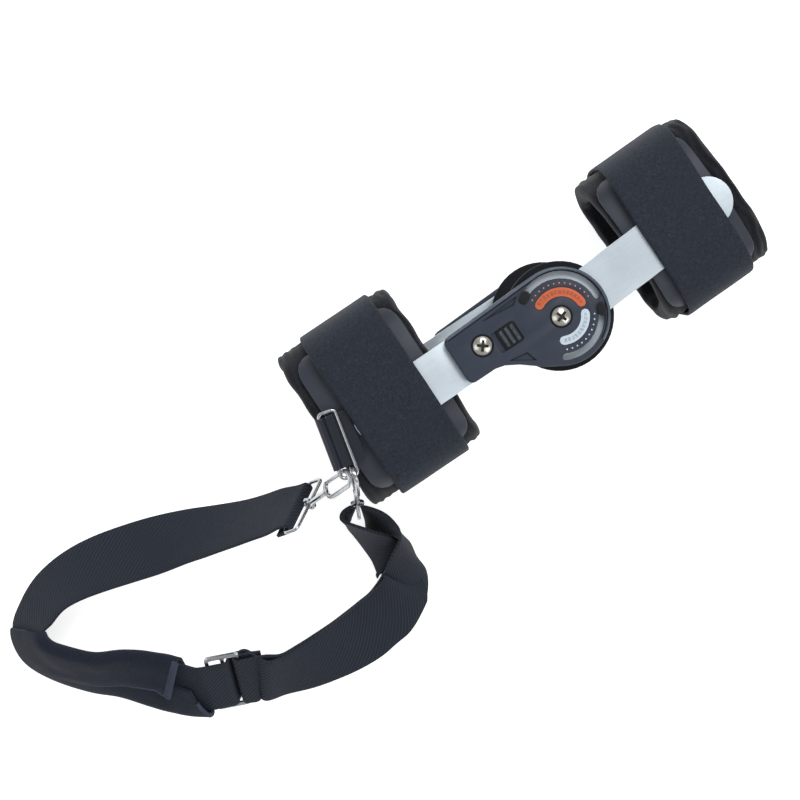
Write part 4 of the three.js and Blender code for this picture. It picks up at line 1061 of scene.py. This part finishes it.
height = add_node(navy_cloth, "ShaderNodeBump", {
    "Height": nap.outputs["Fac"], "Strength": 0.5, "Distance": 0.4 * MM})
add_node(navy_cloth, "Principled BSDF", {
    "Base Color": patchy.outputs["Color"], "Roughness": 0.95, "Specular IOR Level": 0.1,
    "Sheen Weight": 0.1, "Sheen Roughness": 0.5, "Normal": height.outputs["Normal"]})


def pad_point(along, across):
    """A point of the wrap: along the strap from the buckle's end, across from the upper flap's edge."""
    row = along * PAD_ROWS
    upper, out = curve_point(pad_wrap, across * (len(pad_wrap) - 1))
    upper -= curve_point(flap_drop, row).x * max(0, 1 - across / FLAP_SHARE)
    if out > 0:
        out *= 1 + MOUTH_FLARE * max(0, 1 - row / PAD_MOUTH_ROWS)
    upper, out = upper * MM, out * MM
    slant = max(0, 1 - row / PAD_SLANT_ROWS) * upper / (PAD_HALF * MM)
    top_flap = FLAP_END_ROWS * max(0, 1 - row / PAD_SLANT_ROWS)
    over = min(1, max(0, (FLAP_FOLD[0] - across) / FLAP_FOLD[1]))
    place = pad_first + row + (1 - over) * slant + over * max(slant, top_flap)
    puff = 1 + PAD_PUFF * noise.noise(
        (row * PUFF_STEPS[0], upper * PUFF_STEPS[1], out * PUFF_STEPS[2]))
    close = 1 - PAD_NARROWING * max(0, (row - PAD_ROWS + NARROW_ROWS) / NARROW_ROWS) ** 2
    return strap_point(place, -upper * close, -out * puff * close)


pad = cloth_grid("wrapped_shoulder_pad", 70, 76, pad_point)
apply_modifier(pad, "SOLIDIFY", thickness=PAD_SHEET, offset=0)
apply_modifier(
    pad, "BEVEL", width=0.9 * MM, segments=3, limit_method="ANGLE", angle_limit=math.radians(60))
hand_over(pad, "forearm", navy_cloth, "pad_cloth", "shoulder_pad")

# Pad binding: knitted tape folded over the pad's cut edges and sewn through: along the upper flap's
# free edge, doubled into a hem on its end, and as a piping along the slanted end of the lower flap.
EDGE_TAPE = 1.5 * MM
HEM_TAPE = 2 * MM
HEM_ROWS = 0.035
FLAP_END = 0.3
LOWER_FLAP = (0.62, 0.9)
# Knitted edge tape: slate, matt, paler than the pad, the paleness partly painted highlight along the pad's
# edges, with a fine knit drawn at 0.9 mm.
highlight_edge_tape = new_material("knitted_edge_tape_painted_highlight")
here = add_node(highlight_edge_tape, "ShaderNodeTexCoord", {})
knit = add_node(highlight_edge_tape, "ShaderNodeTexNoise", {
    "Vector": here.outputs["Object"], "Scale": 1 / (0.9 * MM), "Detail": 4})
tone = add_node(highlight_edge_tape, "ShaderNodeMixRGB", {
    "Fac": knit.outputs["Fac"], "Color1": linear("#262c38"), "Color2": linear("#4a5162")})
height = add_node(highlight_edge_tape, "ShaderNodeBump", {
    "Height": knit.outputs["Fac"], "Strength": 0.5, "Distance": 0.3 * MM})
add_node(highlight_edge_tape, "Principled BSDF", {
    "Base Color": tone.outputs["Color"], "Roughness": 0.9, "Specular IOR Level": 0.15,
    "Normal": height.outputs["Normal"]})


def pad_line(first, last, count=48):
    """Points over the pad between two of its own places, each along and across it."""
    return [pad_point(*Vector(first).lerp(Vector(last), i / count)) for i in range(count + 1)]


binding = join_pieces([
    tube("flap_edge", pad_line((0, 0), (1, 0)), EDGE_TAPE),
    tube("flap_hem_outer", pad_line((0, 0), (0, FLAP_END)), HEM_TAPE),
    tube("flap_hem_inner", pad_line((HEM_ROWS, 0), (HEM_ROWS, FLAP_END)), HEM_TAPE),
    tube("end_piping", pad_line((0, LOWER_FLAP[0]), (0, LOWER_FLAP[1])), EDGE_TAPE),
], "pad_binding")
hand_over(binding, "forearm", highlight_edge_tape, "pad_cloth")
